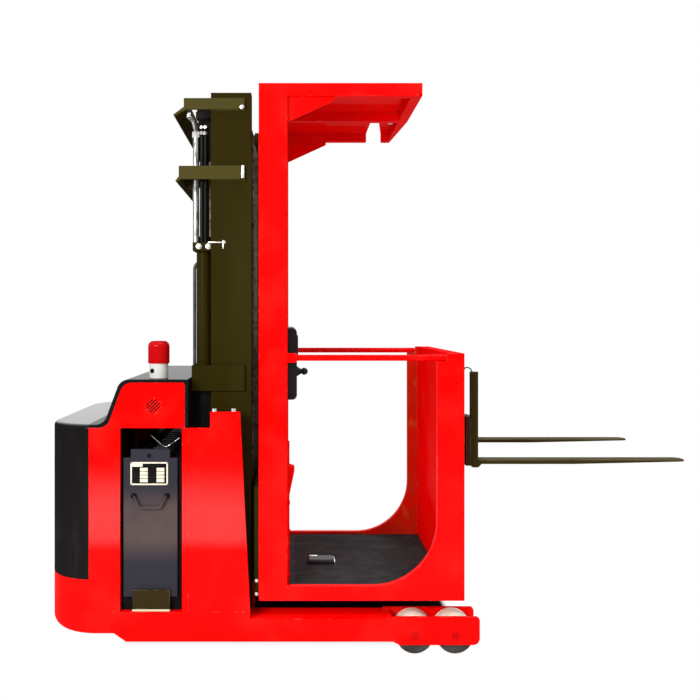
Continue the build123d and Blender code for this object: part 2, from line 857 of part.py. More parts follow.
# Overhead guard: side, cross and middle beams with a gusset on each column, and a roof sheet
guard_inner = half_platform - guard_beam_width
roof_z = (guard_top - 2 * guard_sheet, guard_top - guard_sheet)


def guard_notch():
    """What is cut from the left front of the roof: a flared notch, and the slant of the front corner."""
    rear = guard_front - notch_back
    inner_front = rear + notch_length
    notch = [(rear, notch_inner_y), (inner_front, notch_inner_y),
             (inner_front + notch_flare, half_platform), (rear, half_platform)]
    corner = [(guard_front, 0), (guard_front, half_platform), (guard_front - corner_cut, half_platform)]
    return prism(notch) + prism(corner)


def prism(points):
    """An upright prism through the guard's whole depth, on an outline seen from above."""
    outline = make_face(Polyline(*points, close=True))
    return Pos(0, 0, guard_bottom) * extrude(outline, guard_beam)


def make_gusset():
    end = column_front + gusset_length
    outline = [(column_front, guard_bottom), (end, guard_bottom), (end, guard_bottom - gusset_end),
               (column_front, guard_bottom - gusset_height)]
    return plate_xz(outline, around(half_platform - guard_beam_width / 2, gusset_plate / 2))


def make_guard_frame():
    z = (guard_bottom, guard_top)
    side = block((column_rear, guard_front), (guard_inner, half_platform), z) + make_gusset()
    frame = side + mirrored(side)
    for x in (column_rear, guard_front - guard_cross):
        frame += block((x, x + guard_cross), (-guard_inner, guard_inner), z)
    frame += block((column_rear, guard_front), around(0, guard_cross / 2), (guard_bottom, roof_z[0]))
    return frame - guard_notch()


def make_guard_roof():
    x = (column_rear + guard_cross, guard_front - guard_cross)
    return block(x, (-guard_inner, guard_inner), roof_z) - guard_notch()


add("guard_frame", make_guard_frame())
add("guard_roof", make_guard_roof())


# Side gates: a bar that swings up on the pin between the column's ears
def make_gate():
    y = around(gate_y, gate_hub_width / 2)
    end = front_plate_rear + gate_rest - gate_end_gap
    gate = bar_y(gate_x, gate_z, gate_hub_radius, y) + bar_x(gate_y, gate_z, gate_radius, (gate_x, end))
    return gate - bar_y(gate_x, gate_z, gate_pin_radius + shaft_gap, y)


add_sides("gate", make_gate())


# Fork lift: rails, ram and rod on the platform, then the fork carriage and the forks
ram_bottom = platform_bottom + ram_rise
crosshead_z = side_top - crosshead_drop


def make_rail():
    z = (platform_bottom - rail_drop, side_top - wall_cap)
    return make_channel((rail_rear, rail_front), rail_outer_y, rail_depth, rail_web, rail_wall, z)


def make_ram():
    top = ram_bottom + ram_height
    foot = block((rail_rear, rail_front), around(0, 2 * ram_radius), (ram_bottom - rail_wall, ram_bottom))
    barrel = bar_z(rail_mid, 0, ram_radius, (ram_bottom, top))
    return foot + barrel - bar_z(rail_mid, 0, ram_bore, (ram_bottom + rail_wall, top))


def make_ram_rod():
    rod = bar_z(rail_mid, 0, ram_rod, (ram_bottom + rail_wall + ram_retract + run_gap, crosshead_z))
    return rod + block(around(rail_mid, crosshead_length / 2), around(0, crosshead_width / 2),
                       (crosshead_z, crosshead_z + crosshead_height))


def make_fork_carriage():
    """A plate behind the forks, and two arms with the rollers that run in the rails."""
    rear = rail_front + 2 * run_gap
    half = fork_y + fork_width / 2
    bottom = fork_bottom + fork_carriage_rise
    plate = block((rear, shank_rear), (-half, half), (bottom, bottom + fork_carriage_height))
    arm_outer = rail_outer_y - rail_depth - run_gap
    arm_bottom = fork_bottom + fork_arm_rise
    arm = block((rail_mid - fork_arm, rear), (arm_outer - fork_arm, arm_outer),
                (arm_bottom, arm_bottom + fork_arm_height))
    roller_radius = rail_size / 2 - rail_wall - roller_gap
    roller_y = (arm_outer, rail_outer_y - rail_web - run_gap)
    for rise in fork_roller_rises:
        arm += bar_y(rail_mid, fork_bottom + rise, roller_radius, roller_y)
    return plate + arm + mirrored(arm)


def make_fork():
    """A fork whose shank narrows to a post at its outer side, above the fork carriage."""
    shank_top = fork_bottom + shank_height
    post_bottom = fork_bottom + fork_carriage_rise + fork_carriage_height
    post_inner = fork_y + fork_width / 2 - shank_post
    outline = [(shank_rear, shank_top), (shank_rear, fork_bottom), (shank_front, fork_bottom),
               (shank_front + fork_heel_drop, blade_bottom), (shank_front + fork_taper, blade_bottom),
               (fork_tip, fork_top - fork_tip_thickness), (fork_tip, fork_top), (shank_front, fork_top),
               (shank_front, shank_top)]
    radii = [0, fork_heel_radius, fork_toe_radius, 0, 0, 0, 0, fork_root_radius, 0]
    fork = plate_xz(outline, around(fork_y, fork_width / 2), radii)
    fork -= block((shank_rear, shank_front), (fork_y - fork_width / 2, post_inner), (post_bottom, shank_top))
    nose = fork.edges().filter_by(Axis.Z).sort_by(Axis.X)[-2:]
    return fillet(nose, fork_nose_radius)


add("fork_rails", both(make_rail()))
add("fork_ram", make_ram())
add("fork_ram_rod", make_ram_rod())
add("fork_carriage", make_fork_carriage())
add("forks", both(make_fork()))

os.makedirs("parts", exist_ok=True)
for name, shape in parts.items():
    export_step(shape, os.path.join("parts", name + ".step"))
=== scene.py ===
import math

import bmesh
import bpy
from mathutils import Matrix, Vector


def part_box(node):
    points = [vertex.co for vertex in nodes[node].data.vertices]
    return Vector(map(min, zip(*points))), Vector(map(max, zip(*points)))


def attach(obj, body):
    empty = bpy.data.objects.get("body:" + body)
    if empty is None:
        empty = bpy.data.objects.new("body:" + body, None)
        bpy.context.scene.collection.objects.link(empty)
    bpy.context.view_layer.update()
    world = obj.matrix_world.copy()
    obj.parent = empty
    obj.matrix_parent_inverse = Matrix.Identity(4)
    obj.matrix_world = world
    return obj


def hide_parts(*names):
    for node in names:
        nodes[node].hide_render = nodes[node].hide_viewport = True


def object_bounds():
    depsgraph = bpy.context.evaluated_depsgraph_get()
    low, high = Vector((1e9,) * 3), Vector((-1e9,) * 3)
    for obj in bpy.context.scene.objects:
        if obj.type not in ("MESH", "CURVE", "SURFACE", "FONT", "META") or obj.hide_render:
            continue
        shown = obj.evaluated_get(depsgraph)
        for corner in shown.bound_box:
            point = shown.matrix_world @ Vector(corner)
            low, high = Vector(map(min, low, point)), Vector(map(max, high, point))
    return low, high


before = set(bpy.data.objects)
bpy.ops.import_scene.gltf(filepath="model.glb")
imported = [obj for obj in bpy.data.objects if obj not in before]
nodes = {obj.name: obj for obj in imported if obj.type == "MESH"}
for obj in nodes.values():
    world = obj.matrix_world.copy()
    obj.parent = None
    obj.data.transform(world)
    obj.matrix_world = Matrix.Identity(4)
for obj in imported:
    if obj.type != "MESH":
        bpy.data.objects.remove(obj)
cad_low, cad_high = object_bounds()
rear = cad_low.x

# Studio: a camera that looks straight at the truck's right side from chest height, and three large
# soft lamps, as for a catalogue picture.
EYE = (rear + 0.960, -3.820, 1.292)
IMAGE_PIXELS = 700
FOCAL_PIXELS = 864
SENSOR_MM = 36.0
SHIFT_RIGHT_PIXELS = 58.0
SHIFT_DOWN_PIXELS = 30.4
LAMPS = (  # name, place, aim, metres across, watts
    ("front_lamp", (-2.5, -4.2, 2.4), (0, 0, 0.9), 2.0, 200),
    ("top_lamp", (0.4, -0.6, 5.2), (0, 0, 0.8), 3.2, 150),
    ("back_lamp", (1.6, 4.4, 3.8), (0, 0, 1.0), 2.6, 110),
)

scene = bpy.context.scene
scene.view_settings.view_transform = "Standard"

camera = bpy.data.objects.new("camera", bpy.data.cameras.new("camera"))
camera.location = EYE
camera.rotation_euler = (math.radians(90), 0, 0)
camera.data.sensor_width = SENSOR_MM
camera.data.lens = SENSOR_MM * FOCAL_PIXELS / IMAGE_PIXELS
camera.data.shift_x = SHIFT_RIGHT_PIXELS / IMAGE_PIXELS
camera.data.shift_y = -SHIFT_DOWN_PIXELS / IMAGE_PIXELS
scene.collection.objects.link(camera)
scene.camera = camera

for name, place, aim, size, power in LAMPS:
    lamp = bpy.data.objects.new(name, bpy.data.lights.new(name, "AREA"))
    lamp.data.shape = "SQUARE"
    lamp.data.size = size
    lamp.data.energy = power
    lamp.location = place
    lamp.rotation_euler = (Vector(aim) - Vector(place)).to_track_quat("-Z", "Y").to_euler()
    scene.collection.objects.link(lamp)

# Air round the truck: white to the eye and in what gloss and glass show, and dimmer where it lights
# the truck. Shaders are written as sums and products, and one method adds every other node.
AIR_STRENGTH = 0.46
SEEN_AIR_STRENGTH = 1.0
WHITE = (1, 1, 1)


def operator(operation):
    return lambda first, second: first.math(operation, first, second)


class Shade:
    """A socket's value: sums, products and comparisons of such values add Math nodes."""

    def __init__(self, shader, socket):
        self.shader = shader
        self.socket = socket

    def math(self, operation, first, second):
        return self.shader.node("ShaderNodeMath", {"operation": operation}, {0: first, 1: second})

    __add__ = __radd__ = operator("ADD")
    __mul__ = __rmul__ = operator("MULTIPLY")
    __sub__ = operator("SUBTRACT")
    __or__ = operator("MAXIMUM")
    __lt__ = operator("LESS_THAN")
    __gt__ = operator("GREATER_THAN")

    def __rsub__(self, other):
        return self.math("SUBTRACT", other, self)

    def __abs__(self):
        return self.math("ABSOLUTE", self, 0.0)


class Shader:
    """A node tree, and the one way in which nodes are added to it."""

    def __init__(self, tree):
        self.tree = tree

    def fill(self, socket, value):
        if isinstance(value, Shade):
            self.tree.links.new(value.socket, socket)
        elif socket.type == "RGBA" and len(value) == 3:
            socket.default_value = (*value, 1)
        else:
            socket.default_value = value

    def node(self, kind, settings=None, sockets=None, output=0):
        """A node's output, after its settings and then its sockets are given."""
        made = self.tree.nodes.new(kind)
        for name, value in (settings or {}).items():
            setattr(made, name, value)
        for name, value in (sockets or {}).items():
            self.fill(made.inputs[name], value)
        return Shade(self, made.outputs[output])

    def ray(self, kind):
        return self.node("ShaderNodeLightPath", output=f"Is {kind} Ray")


world = bpy.data.worlds.new("studio_air")
world.use_nodes = True
scene.world = world
air = Shader(world.node_tree)
background = air.tree.nodes["Background"]
seen = air.ray("Camera") | air.ray("Glossy") | air.ray("Transmission")
air.fill(background.inputs["Color"], WHITE)
air.fill(background.inputs["Strength"], AIR_STRENGTH + seen * (SEEN_AIR_STRENGTH - AIR_STRENGTH))

# Floor: one matt pale sheet, laid to the horizon, that keeps the truck's shadow. Its colour is
# painted near black under the truck, a painted shadow, and it is as white as the air beyond.
FLOOR_HALF = 40.0
FLOOR_COLOUR = (0.86, 0.86, 0.86)
SHADE_COLOUR = (0.006, 0.006, 0.006)
SHADE_REAR_INSET = 0.3
SHADED_HALF_WIDTH = 0.2
SHADE_REACH = 0.22
SHADE_END_STEEPNESS = 6.0


class Finish(Shader):
    """A material with a Principled shader and the patterns that feed it."""

    def __init__(self, name, **constants):
        self.material = bpy.data.materials.new(name)
        self.material.use_nodes = True
        super().__init__(self.material.node_tree)
        self.principled = self.tree.nodes["Principled BSDF"]
        self.place = self.node("ShaderNodeTexCoord", output="Object")
        self.set(constants)

    def set(self, sockets):
        for name, value in sockets.items():
            self.fill(self.principled.inputs[name.replace("_", " ")], value)

    def vector(self, operation, first, second=(0, 0, 0), output=0):
        return self.node("ShaderNodeVectorMath", {"operation": operation}, {0: first, 1: second}, output)

    def normal(self):
        return self.node("ShaderNodeNewGeometry", output="Normal")

    def axis(self, letter, of=None):
        return self.node("ShaderNodeSeparateXYZ", None, {0: of or self.place}, letter)

    def ramp(self, value, low, high, start=0.0, end=1.0):
        """start where value is low and end where it is high, with a soft change between."""
        limits = {"Value": value, "From Min": low, "From Max": high, "To Min": start, "To Max": end}
        return self.node("ShaderNodeMapRange", {"interpolation_type": "SMOOTHSTEP"}, limits)

    def band(self, value, start, end):
        """A mask from 0 to 1 that fades in over the pair start and out over the pair end."""
        return self.ramp(value, *start) * self.ramp(value, *end, 1.0, 0.0)

    def cloud(self, scale, low, high, detail=4.0, stretch=(1, 1, 1)):
        """A mask from 0 to 1 of soft patches, scale to the metre."""
        place = self.node("ShaderNodeMapping", None, {"Vector": self.place, "Scale": stretch})
        noise = self.node("ShaderNodeTexNoise", None, {"Vector": place, "Scale": scale, "Detail": detail})
        return self.ramp(noise, low, high)

    def upward(self):
        """A mask from 0 to 1 that is high on faces that look up."""
        return self.ramp(self.axis("Z", self.normal()), 0.6, 0.95)

    def rounding(self, radius):
        return self.node("ShaderNodeBevel", {"samples": 4}, {"Radius": radius})

    def edges(self, radius):
        """A mask from 0 to 1 that is high along sharp edges, where a finish wears."""
        alike = self.vector("DOT_PRODUCT", self.rounding(radius), self.normal(), "Value")
        return self.ramp(1 - alike, 0.02, 0.22)

    def mix(self, share, first, second):
        """first where share is 0 and second where it is 1, as a colour."""
        sockets = {"Factor": share, 6: first, 7: second}
        return self.node("ShaderNodeMix", {"data_type": "RGBA"}, sockets, 2)

    def bump(self, height, distance, strength, radius=0.0):
        """A relief for Normal, over edges that are rounded by radius."""
        sockets = {"Height": height, "Distance": distance, "Strength": strength}
        if radius:
            sockets["Normal"] = self.rounding(radius)
        return self.node("ShaderNodeBump", None, sockets)

    def grain(self, scale, distance, strength, radius=0.0, detail=4.0):
        """A fine relief for Normal, scale to the metre, over edges that are rounded by radius."""
        return self.bump(self.cloud(scale, 0.3, 0.7, detail), distance, strength, radius)


mesh = bmesh.new()
bmesh.ops.create_grid(mesh, x_segments=1, y_segments=1, size=FLOOR_HALF)
floor_data = bpy.data.meshes.new("floor")
mesh.to_mesh(floor_data)
mesh.free()
floor = bpy.data.objects.new("floor", floor_data)
scene.collection.objects.link(floor)

shade_start = rear + SHADE_REAR_INSET
shade_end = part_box("platform_sides")[1].x
shaded_middle = ((shade_start + shade_end) / 2, 0, 0)
shaded_half = ((shade_end - shade_start) / 2, SHADED_HALF_WIDTH, 1)
floor_paint = Finish("floor_paint", Roughness=0.9, Specular_IOR_Level=0.0)
beyond = floor_paint.vector("ABSOLUTE", floor_paint.vector("SUBTRACT", floor_paint.place, shaded_middle))
beyond = floor_paint.vector("MAXIMUM", floor_paint.vector("SUBTRACT", beyond, shaded_half))
beyond = floor_paint.vector("MULTIPLY", beyond, (SHADE_END_STEEPNESS, 1, 0))
beyond = floor_paint.ramp(floor_paint.vector("LENGTH", beyond, output="Value"), 0.0, SHADE_REACH)
# Painted shadow: the floor's colour is near black under the truck.
floor_paint.set({"Base Color": floor_paint.mix(beyond, SHADE_COLOUR, FLOOR_COLOUR)})
floor_matt = Shade(floor_paint, floor_paint.principled.outputs[0])
floor_light = floor_paint.node("ShaderNodeEmission", None, {"Color": WHITE, "Strength": 1.0})
floor_surface = floor_paint.node(
    "ShaderNodeMixShader", None, {0: floor_paint.ray("Camera") * beyond, 1: floor_matt, 2: floor_light}
)
floor_paint.fill(floor_paint.tree.nodes["Material Output"].inputs["Surface"], floor_surface)
floor_data.materials.append(floor_paint.material)

# Power unit's welded base, its steel covers, the legs, the columns and the guard: plate and sheet in
# glossy red enamel over brown primer, with a faint orange peel, some dust and primer bare at knocked
# edges, and a band of extra gloss along the power unit's sides, a painted sheen. The load wheels'
# axles end in the legs, where a painted shade darkens a disc round each.
RED = (0.86, 0.0008, 0.0006)
RED_DEEP = (0.70, 0.0006, 0.0006)
RED_SHADED = (0.20, 0.0, 0.0)
RED_COAT = {"Coat_Roughness": 0.10, "Specular_IOR_Level": 0.0}
RED_GLOSS = 0.09
SHEEN_BAND_GLOSS = 0.75
SHEEN_BAND_Y = 0.48
SHEEN_BAND_Z = ((0.40, 0.46), (0.52, 0.76))
PRIMER = (0.34, 0.20, 0.17)
DUST = (0.36, 0.16, 0.11)
AXLE_ENDS_X = (1.434, 1.590)
AXLE_END_Z = 0.075
AXLE_END_RADIUS = 0.018


def red_colour(red, share=0.6, first=RED, second=RED_DEEP):
    return red.mix(red.cloud(2.6, 0.35, 0.75) * share, first, second)


def coat_red(red, colour, gloss):
    """Dust, chips and orange peel over a red finish's colour, under a clear coat of this gloss."""
    chips = red.cloud(46.0, 0.56, 0.66) * red.edges(0.004)
    grime = red.cloud(7.0, 0.45, 0.8)
    colour = red.mix(grime * 0.05, colour, DUST)
    red.set({
        "Base Color": red.mix(chips * 0.7, colour, PRIMER),
        "Roughness": 0.26 + grime * 0.12 + chips * 0.3,
        "Coat Weight": gloss * (1 - chips),
        "Normal": red.grain(420.0, 0.00025, 0.2, 0.003, detail=1.0),
    })


def dress(finish, *names):
    """A CAD node's own solid shows, in this finish."""
    for name in names:
        nodes[name].data.materials.clear()
        nodes[name].data.materials.append(finish.material)


red_enamel = Finish("red_enamel", **RED_COAT)
side_view = red_enamel.vector("MULTIPLY", red_enamel.place, (1, 0, 1))
# Painted shade: a darker disc on the legs round each load wheel's axle end.
axle_end_shade = 0.0
for x in AXLE_ENDS_X:
    away = red_enamel.vector("DISTANCE", side_view, (rear + x, 0, AXLE_END_Z), "Value")
    axle_end_shade = axle_end_shade + red_enamel.ramp(away, AXLE_END_RADIUS * 0.8, AXLE_END_RADIUS, 1.0, 0.0)
# Painted sheen: a band of extra gloss along the power unit's sides.
sheen_band = red_enamel.band(red_enamel.axis("Z"), *SHEEN_BAND_Z)
sheen_band = sheen_band * (abs(red_enamel.axis("Y")) > SHEEN_BAND_Y)
enamel_colour = red_enamel.mix(axle_end_shade * 0.45, red_colour(red_enamel), RED_SHADED)
coat_red(red_enamel, enamel_colour, RED_GLOSS + sheen_band * SHEEN_BAND_GLOSS)
dress(
    red_enamel, "base_frame", "side_panels", "tower_panels", "legs", "columns", "platform_floor",
    "console_beam", "guard_frame", "guard_roof", "gate_left", "gate_right",
)

# Operator's platform: welded sheet in red with no gloss left on its inner faces. The front wall
# and the back panel are a lighter red, a painted light. The side plates' inner faces are a darker
# brown, a painted shade that is deeper where boots and oil have stained them, with bare patches of
# orange undercoat.
RED_PAINTED_LIT = (0.95, 0.0008, 0.0006)
WORN_GLOSS = 0.02
PLATE_GLOSS = 0.12
INNER_SHADE_AND_STAIN = (0.34, 0.020, 0.005)
UNDERCOAT = (0.50, 0.075, 0.012)
LOOKING_IN = -0.1

# Painted light: the front wall and the back panel are a lighter red than the enamel.
red_worn_painted_lit = Finish("red_worn_painted_lit", **RED_COAT)
coat_red(red_worn_painted_lit, red_colour(red_worn_painted_lit, 0.3, RED_PAINTED_LIT, RED), WORN_GLOSS)
dress(red_worn_painted_lit, "front_wall", "back_panel")

red_plates = Finish("red_plates", **RED_COAT)
inner_face = (red_plates.axis("Y", red_plates.normal()) * red_plates.axis("Y")) < LOOKING_IN
stain = red_plates.cloud(9.0, 0.30, 0.62, stretch=(1, 1, 0.5))
rubbed_through = red_plates.cloud(14.0, 0.56, 0.68, stretch=(1, 1, 0.6))
# Painted shade: faces that look inwards are darkened brown, deeper where the stain cloud is.
plate_colour = red_plates.mix(inner_face * (0.25 + stain * 0.45), red_colour(red_plates), INNER_SHADE_AND_STAIN)
plate_colour = red_plates.mix(inner_face * rubbed_through * 0.8, plate_colour, UNDERCOAT)
coat_red(red_plates, plate_colour, PLATE_GLOSS * (1 - inner_face))
dress(red_plates, "platform_sides")

# Bolts on the towers: two zinc-plated hexagon heads on washers hold each tower panel's top to the
# mast. The plating has dulled in patches.
SIDES = (-1, 1)
UP = (0, 0, 1)
TOWER_BOLTS_X = (0.659, 0.734)
TOWER_BOLT_Y = 0.470
TOWER_BOLT = 0.017
WASHER = (0.68, 0.12, 0.03)
HEXAGON_HEAD = (0.577, 0.62, 0.07)
ROUND_SIDES = 28
SHARP_ANGLE = math.radians(32)


def patchy(name, patches, clean, soiled, smooth, rougher, stretch=(1, 1, 1), **constants):
    """A finish that goes in soft patches from a clean colour to a soiled and rougher one."""
    finish = Finish(name, **constants)
    soil = finish.cloud(*patches, stretch=stretch)
    finish.set({
        "Base Color": finish.mix(soil, clean, soiled),
        "Roughness": smooth + soil * rougher,
    })
    return finish


def facing(place, direction):
    """A frame at place whose Z looks along direction."""
    return Matrix.LocRotScale(Vector(place), Vector(direction).to_track_quat("Z", "Y"), None)


def edges_of(verts):
    """The edges that join these vertices, in a steady order."""
    among = set(verts)
    return list(dict.fromkeys(e for v in verts for e in v.link_edges if among.issuperset(e.verts)))


def break_edges(mesh, edges, offset):
    bmesh.ops.bevel(
        mesh, geom=edges, offset=offset, segments=2, profile=0.5, affect="EDGES", material=-1
    )


def add_round(mesh, place, direction, radius, depth, edge=0.0, segments=ROUND_SIDES, tip=None):
    """A turned piece that stands on place and looks along direction, its outer rim broken by edge."""
    seat = facing(place, direction) @ Matrix.Translation((0, 0, depth / 2))
    far_radius = radius if tip is None else tip
    made = bmesh.ops.create_cone(
        mesh, cap_ends=True, segments=segments, radius1=radius, radius2=far_radius, depth=depth, matrix=seat
    )
    if edge:
        back = seat.inverted()
        outer = [v for v in made["verts"] if (back @ v.co).z > 0]
        break_edges(mesh, edges_of(outer), edge)


def add_bolt(mesh, place, direction, across):
    """A hexagon head on a washer, both in shares of the width across its flats."""
    for shares, segments in ((WASHER, ROUND_SIDES), (HEXAGON_HEAD, 6)):
        add_round(mesh, place, direction, *(across * share for share in shares), segments)


def finished(name, mesh, finish, body):
    """The mesh becomes a piece that rides on a body, smooth but for its sharp edges."""
    bmesh.ops.remove_doubles(mesh, verts=mesh.verts, dist=1e-6)
    data = bpy.data.meshes.new(name)
    mesh.to_mesh(data)
    mesh.free()
    data.materials.append(finish.material)
    data.shade_smooth()
    data.set_sharp_from_angle(angle=SHARP_ANGLE)
    piece = bpy.data.objects.new(name, data)
    scene.collection.objects.link(piece)
    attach(piece, body)
    return piece


zinc = patchy(
    "zinc", patches=(90.0, 0.4, 0.75), clean=(0.78, 0.77, 0.74), soiled=(0.42, 0.40, 0.35),
    smooth=0.26, rougher=0.25, Metallic=1.0,
)
tower_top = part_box("tower_panels")[1].z
mesh = bmesh.new()
for side in SIDES:
    for x in TOWER_BOLTS_X:
        add_bolt(mesh, (rear + x, side * TOWER_BOLT_Y, tower_top), UP, TOWER_BOLT)
finished("tower_bolts", mesh, zinc, "chassis")

# Hood: one moulded black skin over the drive unit, polished on top, so that at a low angle it mirrors
# the sky, and satin down its edges.
HOOD_BLACK, HOOD_SWIRLED = (0.006, 0.006, 0.006), (0.014, 0.015, 0.014)

hood_black = Finish("hood_black", Specular_IOR_Level=0.0, Coat_Roughness=0.10, Coat_IOR=1.6)
swirls = hood_black.cloud(60.0, 0.45, 0.8, stretch=(1, 0.2, 1))
hood_black.set({
    "Base Color": hood_black.mix(swirls, HOOD_BLACK, HOOD_SWIRLED),
    "Roughness": 0.3 + swirls * 0.12,
    "Coat Weight": 0.12 + hood_black.upward() * 0.34,
    "Normal": hood_black.rounding(0.004),
})
dress(hood_black, "hood_top")

# Rear cover: moulded black plastic with a fine spark-eroded grain, a smoother top deck and a field of
# louvres over cooling slots in its back, painted near black as the shade inside them. It clips on
# from inside, so no screws show.
COVER_BLACK, COVER_SCUFFED = (0.0072, 0.0062, 0.006), (0.017, 0.015, 0.015)
SLOT_SHADE = (0.001, 0.001, 0.001)
SLOTS_Z = (0.48, 0.75)
SLOTS_HALF_WIDTH = 0.26
SLOT_PITCH = 0.030
SLOT_DEPTH = 0.0006
LOUVRE_SHARE = (0.2, 0.8)
LOUVRE_RISE = 0.0016
LOUVRE_EDGE = 0.0009


def add_block(mesh, low, high, edge=0.001, turn=None):
    """A block from corner to corner with its edges rounded, turned about its own middle."""
    middle = (Vector(low) + Vector(high)) / 2
    size = Vector(high) - Vector(low)
    place = Matrix.Translation(middle) @ (turn or Matrix.Identity(4)) @ Matrix.Diagonal((*size, 1))
    made = bmesh.ops.create_cube(mesh, size=1, matrix=place)
    if edge:
        break_edges(mesh, edges_of(made["verts"]), edge)


cover_black = Finish("cover_black", Specular_IOR_Level=0.0, Coat_Roughness=0.06, Coat_IOR=2.0)
scuffs = cover_black.cloud(18.0, 0.55, 0.8, stretch=(1, 1, 0.3))
rise = cover_black.axis("Z")
# Painted shade: the slots behind the louvres are near black.
slot_shade = (abs(cover_black.axis("Y")) < SLOTS_HALF_WIDTH) * (rise < SLOTS_Z[1]) * (rise > SLOTS_Z[0])
slot_shade = slot_shade * (cover_black.axis("X") < rear + SLOT_DEPTH)
cover_colour = cover_black.mix(scuffs * 0.5, COVER_BLACK, COVER_SCUFFED)
cover_black.set({
    "Base Color": cover_black.mix(slot_shade, cover_colour, SLOT_SHADE),
    "Roughness": 0.45 + scuffs * 0.2,
    "Coat Weight": 0.03 + cover_black.upward() * 0.97,
    "Normal": cover_black.grain(900.0, 0.0003, 0.35, 0.004, detail=2.0),
})
dress(cover_black, "rear_cover")

mesh = bmesh.new()
for number in range(round((SLOTS_Z[1] - SLOTS_Z[0]) / SLOT_PITCH)):
    louvre_z = [SLOTS_Z[0] + (number + share) * SLOT_PITCH for share in LOUVRE_SHARE]
    louvre_low = (rear - LOUVRE_RISE, -SLOTS_HALF_WIDTH, louvre_z[0])
    add_block(mesh, louvre_low, (rear + SLOT_DEPTH, SLOTS_HALF_WIDTH, louvre_z[1]), LOUVRE_EDGE)
finished("cooling_louvres", mesh, hood_black, "chassis")

# Horn: a round red grille pressed in the right side panel, with slanting slats in its rim, over the
# black face of a horn that is screwed on from behind.
HORN_SLATS = 6
HORN_SLANT = math.radians(45)
HORN_RIM = 0.0045
HORN_SIDES = 48
SLAT_HALF_WIDTH, SLAT_HALF_DEPTH = 0.26, 0.2
SLAT_INSET, SLAT_EDGE = 0.001, 0.0008
HORN_FACE_DEPTH, HORN_FACE_GAP = 0.45, 0.0005
OUT_RIGHT = (0, -1, 0)
horn_low, horn_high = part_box("horn_grille")
horn_middle = (horn_low + horn_high) / 2
horn_radius = (horn_high.x - horn_low.x) / 2
horn_depth = horn_high.y - horn_low.y
horn_seat = (horn_middle.x, horn_high.y, horn_middle.z)


def of_kind(kind, geometry):
    return [part for part in geometry if isinstance(part, kind)]


mesh = bmesh.new()
ring = bmesh.ops.create_circle(
    mesh, segments=HORN_SIDES, radius=horn_radius, matrix=facing(horn_seat, OUT_RIGHT)
)
wall = bmesh.ops.extrude_edge_only(mesh, edges=edges_of(ring["verts"]))["geom"]
bmesh.ops.translate(mesh, verts=of_kind(bmesh.types.BMVert, wall), vec=(0, -horn_depth, 0))
lip = bmesh.ops.extrude_edge_only(mesh, edges=of_kind(bmesh.types.BMEdge, wall))["geom"]
inward = (horn_radius - HORN_RIM) / horn_radius
about_horn = Matrix.Translation(-horn_middle)
bmesh.ops.scale(mesh, verts=of_kind(bmesh.types.BMVert, lip), vec=(inward, 1, inward), space=about_horn)
slat_reach = horn_radius - HORN_RIM / 2
slat_pitch = 2 * slat_reach / HORN_SLATS
across_slats = Vector((math.cos(HORN_SLANT), 0, -math.sin(HORN_SLANT)))
for number in range(HORN_SLATS):
    offset = (number + 0.5) * slat_pitch - slat_reach
    half_length = math.sqrt(slat_reach ** 2 - offset ** 2)
    half = Vector((slat_pitch * SLAT_HALF_WIDTH, horn_depth * SLAT_HALF_DEPTH, half_length))
    centre = horn_middle + offset * across_slats
    centre.y = horn_low.y + half.y + SLAT_INSET
    add_block(mesh, centre - half, centre + half, SLAT_EDGE, Matrix.Rotation(HORN_SLANT, 4, "Y"))
bmesh.ops.recalc_face_normals(mesh, faces=mesh.faces)
horn = finished("horn_slats", mesh, red_enamel, "chassis")
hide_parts("horn_grille")

mesh = bmesh.new()
add_round(mesh, horn_seat, OUT_RIGHT, horn_radius - HORN_FACE_GAP, horn_depth * HORN_FACE_DEPTH)
finished("horn_black", mesh, cover_black, "chassis")

# Beacon: a pale moulded foot, screwed to the hood, with a black cable gland in its side, and a clear
# red lens with moulded rings that screws onto it.
PALE_FRESH, PALE_AGED = (0.60, 0.60, 0.57), (0.51, 0.505, 0.47)
LENS_RED, LENS_RINGED = (0.46, 0.0015, 0.0025), (0.32, 0.001, 0.002)
LENS_RING_SCALE = 60.0
GLAND_TURN = math.radians(235)
GLAND_RISE = 0.029
GLAND_SINK = 0.002
GLAND_STEPS = ((0.0095, 0.005, 0.0012), (0.006, 0.008, 0.001))


def add_steps(mesh, place, direction, steps, segments=ROUND_SIDES):
    """A turned piece in steps on one seat, each with its radius, its height and its broken rim."""
    for step in steps:
        add_round(mesh, place, direction, *step, segments)


pale_plastic = patchy(
    "pale_plastic", patches=(40.0, 0.4, 0.8), clean=PALE_FRESH, soiled=PALE_AGED,
    smooth=0.4, rougher=0.1, Specular_IOR_Level=0.3,
)
pale_plastic.set({"Normal": pale_plastic.grain(700.0, 0.0002, 0.3, 0.002)})
dress(pale_plastic, "beacon_base")

red_lens = Finish("red_lens", Coat_Weight=0.15, Coat_Roughness=0.05, Specular_IOR_Level=0.0)
lens_rings = red_lens.node(
    "ShaderNodeTexWave", {"bands_direction": "Z"}, {"Vector": red_lens.place, "Scale": LENS_RING_SCALE}
)
red_lens.set({
    "Base Color": red_lens.mix(lens_rings * 0.6, LENS_RED, LENS_RINGED),
    "Roughness": 0.2 + lens_rings * 0.1,
    "Normal": red_lens.bump(lens_rings, 0.0008, 0.4),
})
dress(red_lens, "beacon_lens")

beacon_low, beacon_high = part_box("beacon_base")
beacon_radius = (beacon_high.x - beacon_low.x) / 2
outward = Vector((math.cos(GLAND_TURN), math.sin(GLAND_TURN), 0))
gland_seat = (beacon_low + beacon_high) / 2 + outward * (beacon_radius - GLAND_SINK)
gland_seat.z = beacon_low.z + GLAND_RISE
mesh = bmesh.new()
add_steps(mesh, gland_seat, outward, GLAND_STEPS)
finished("beacon_gland", mesh, cover_black, "chassis")

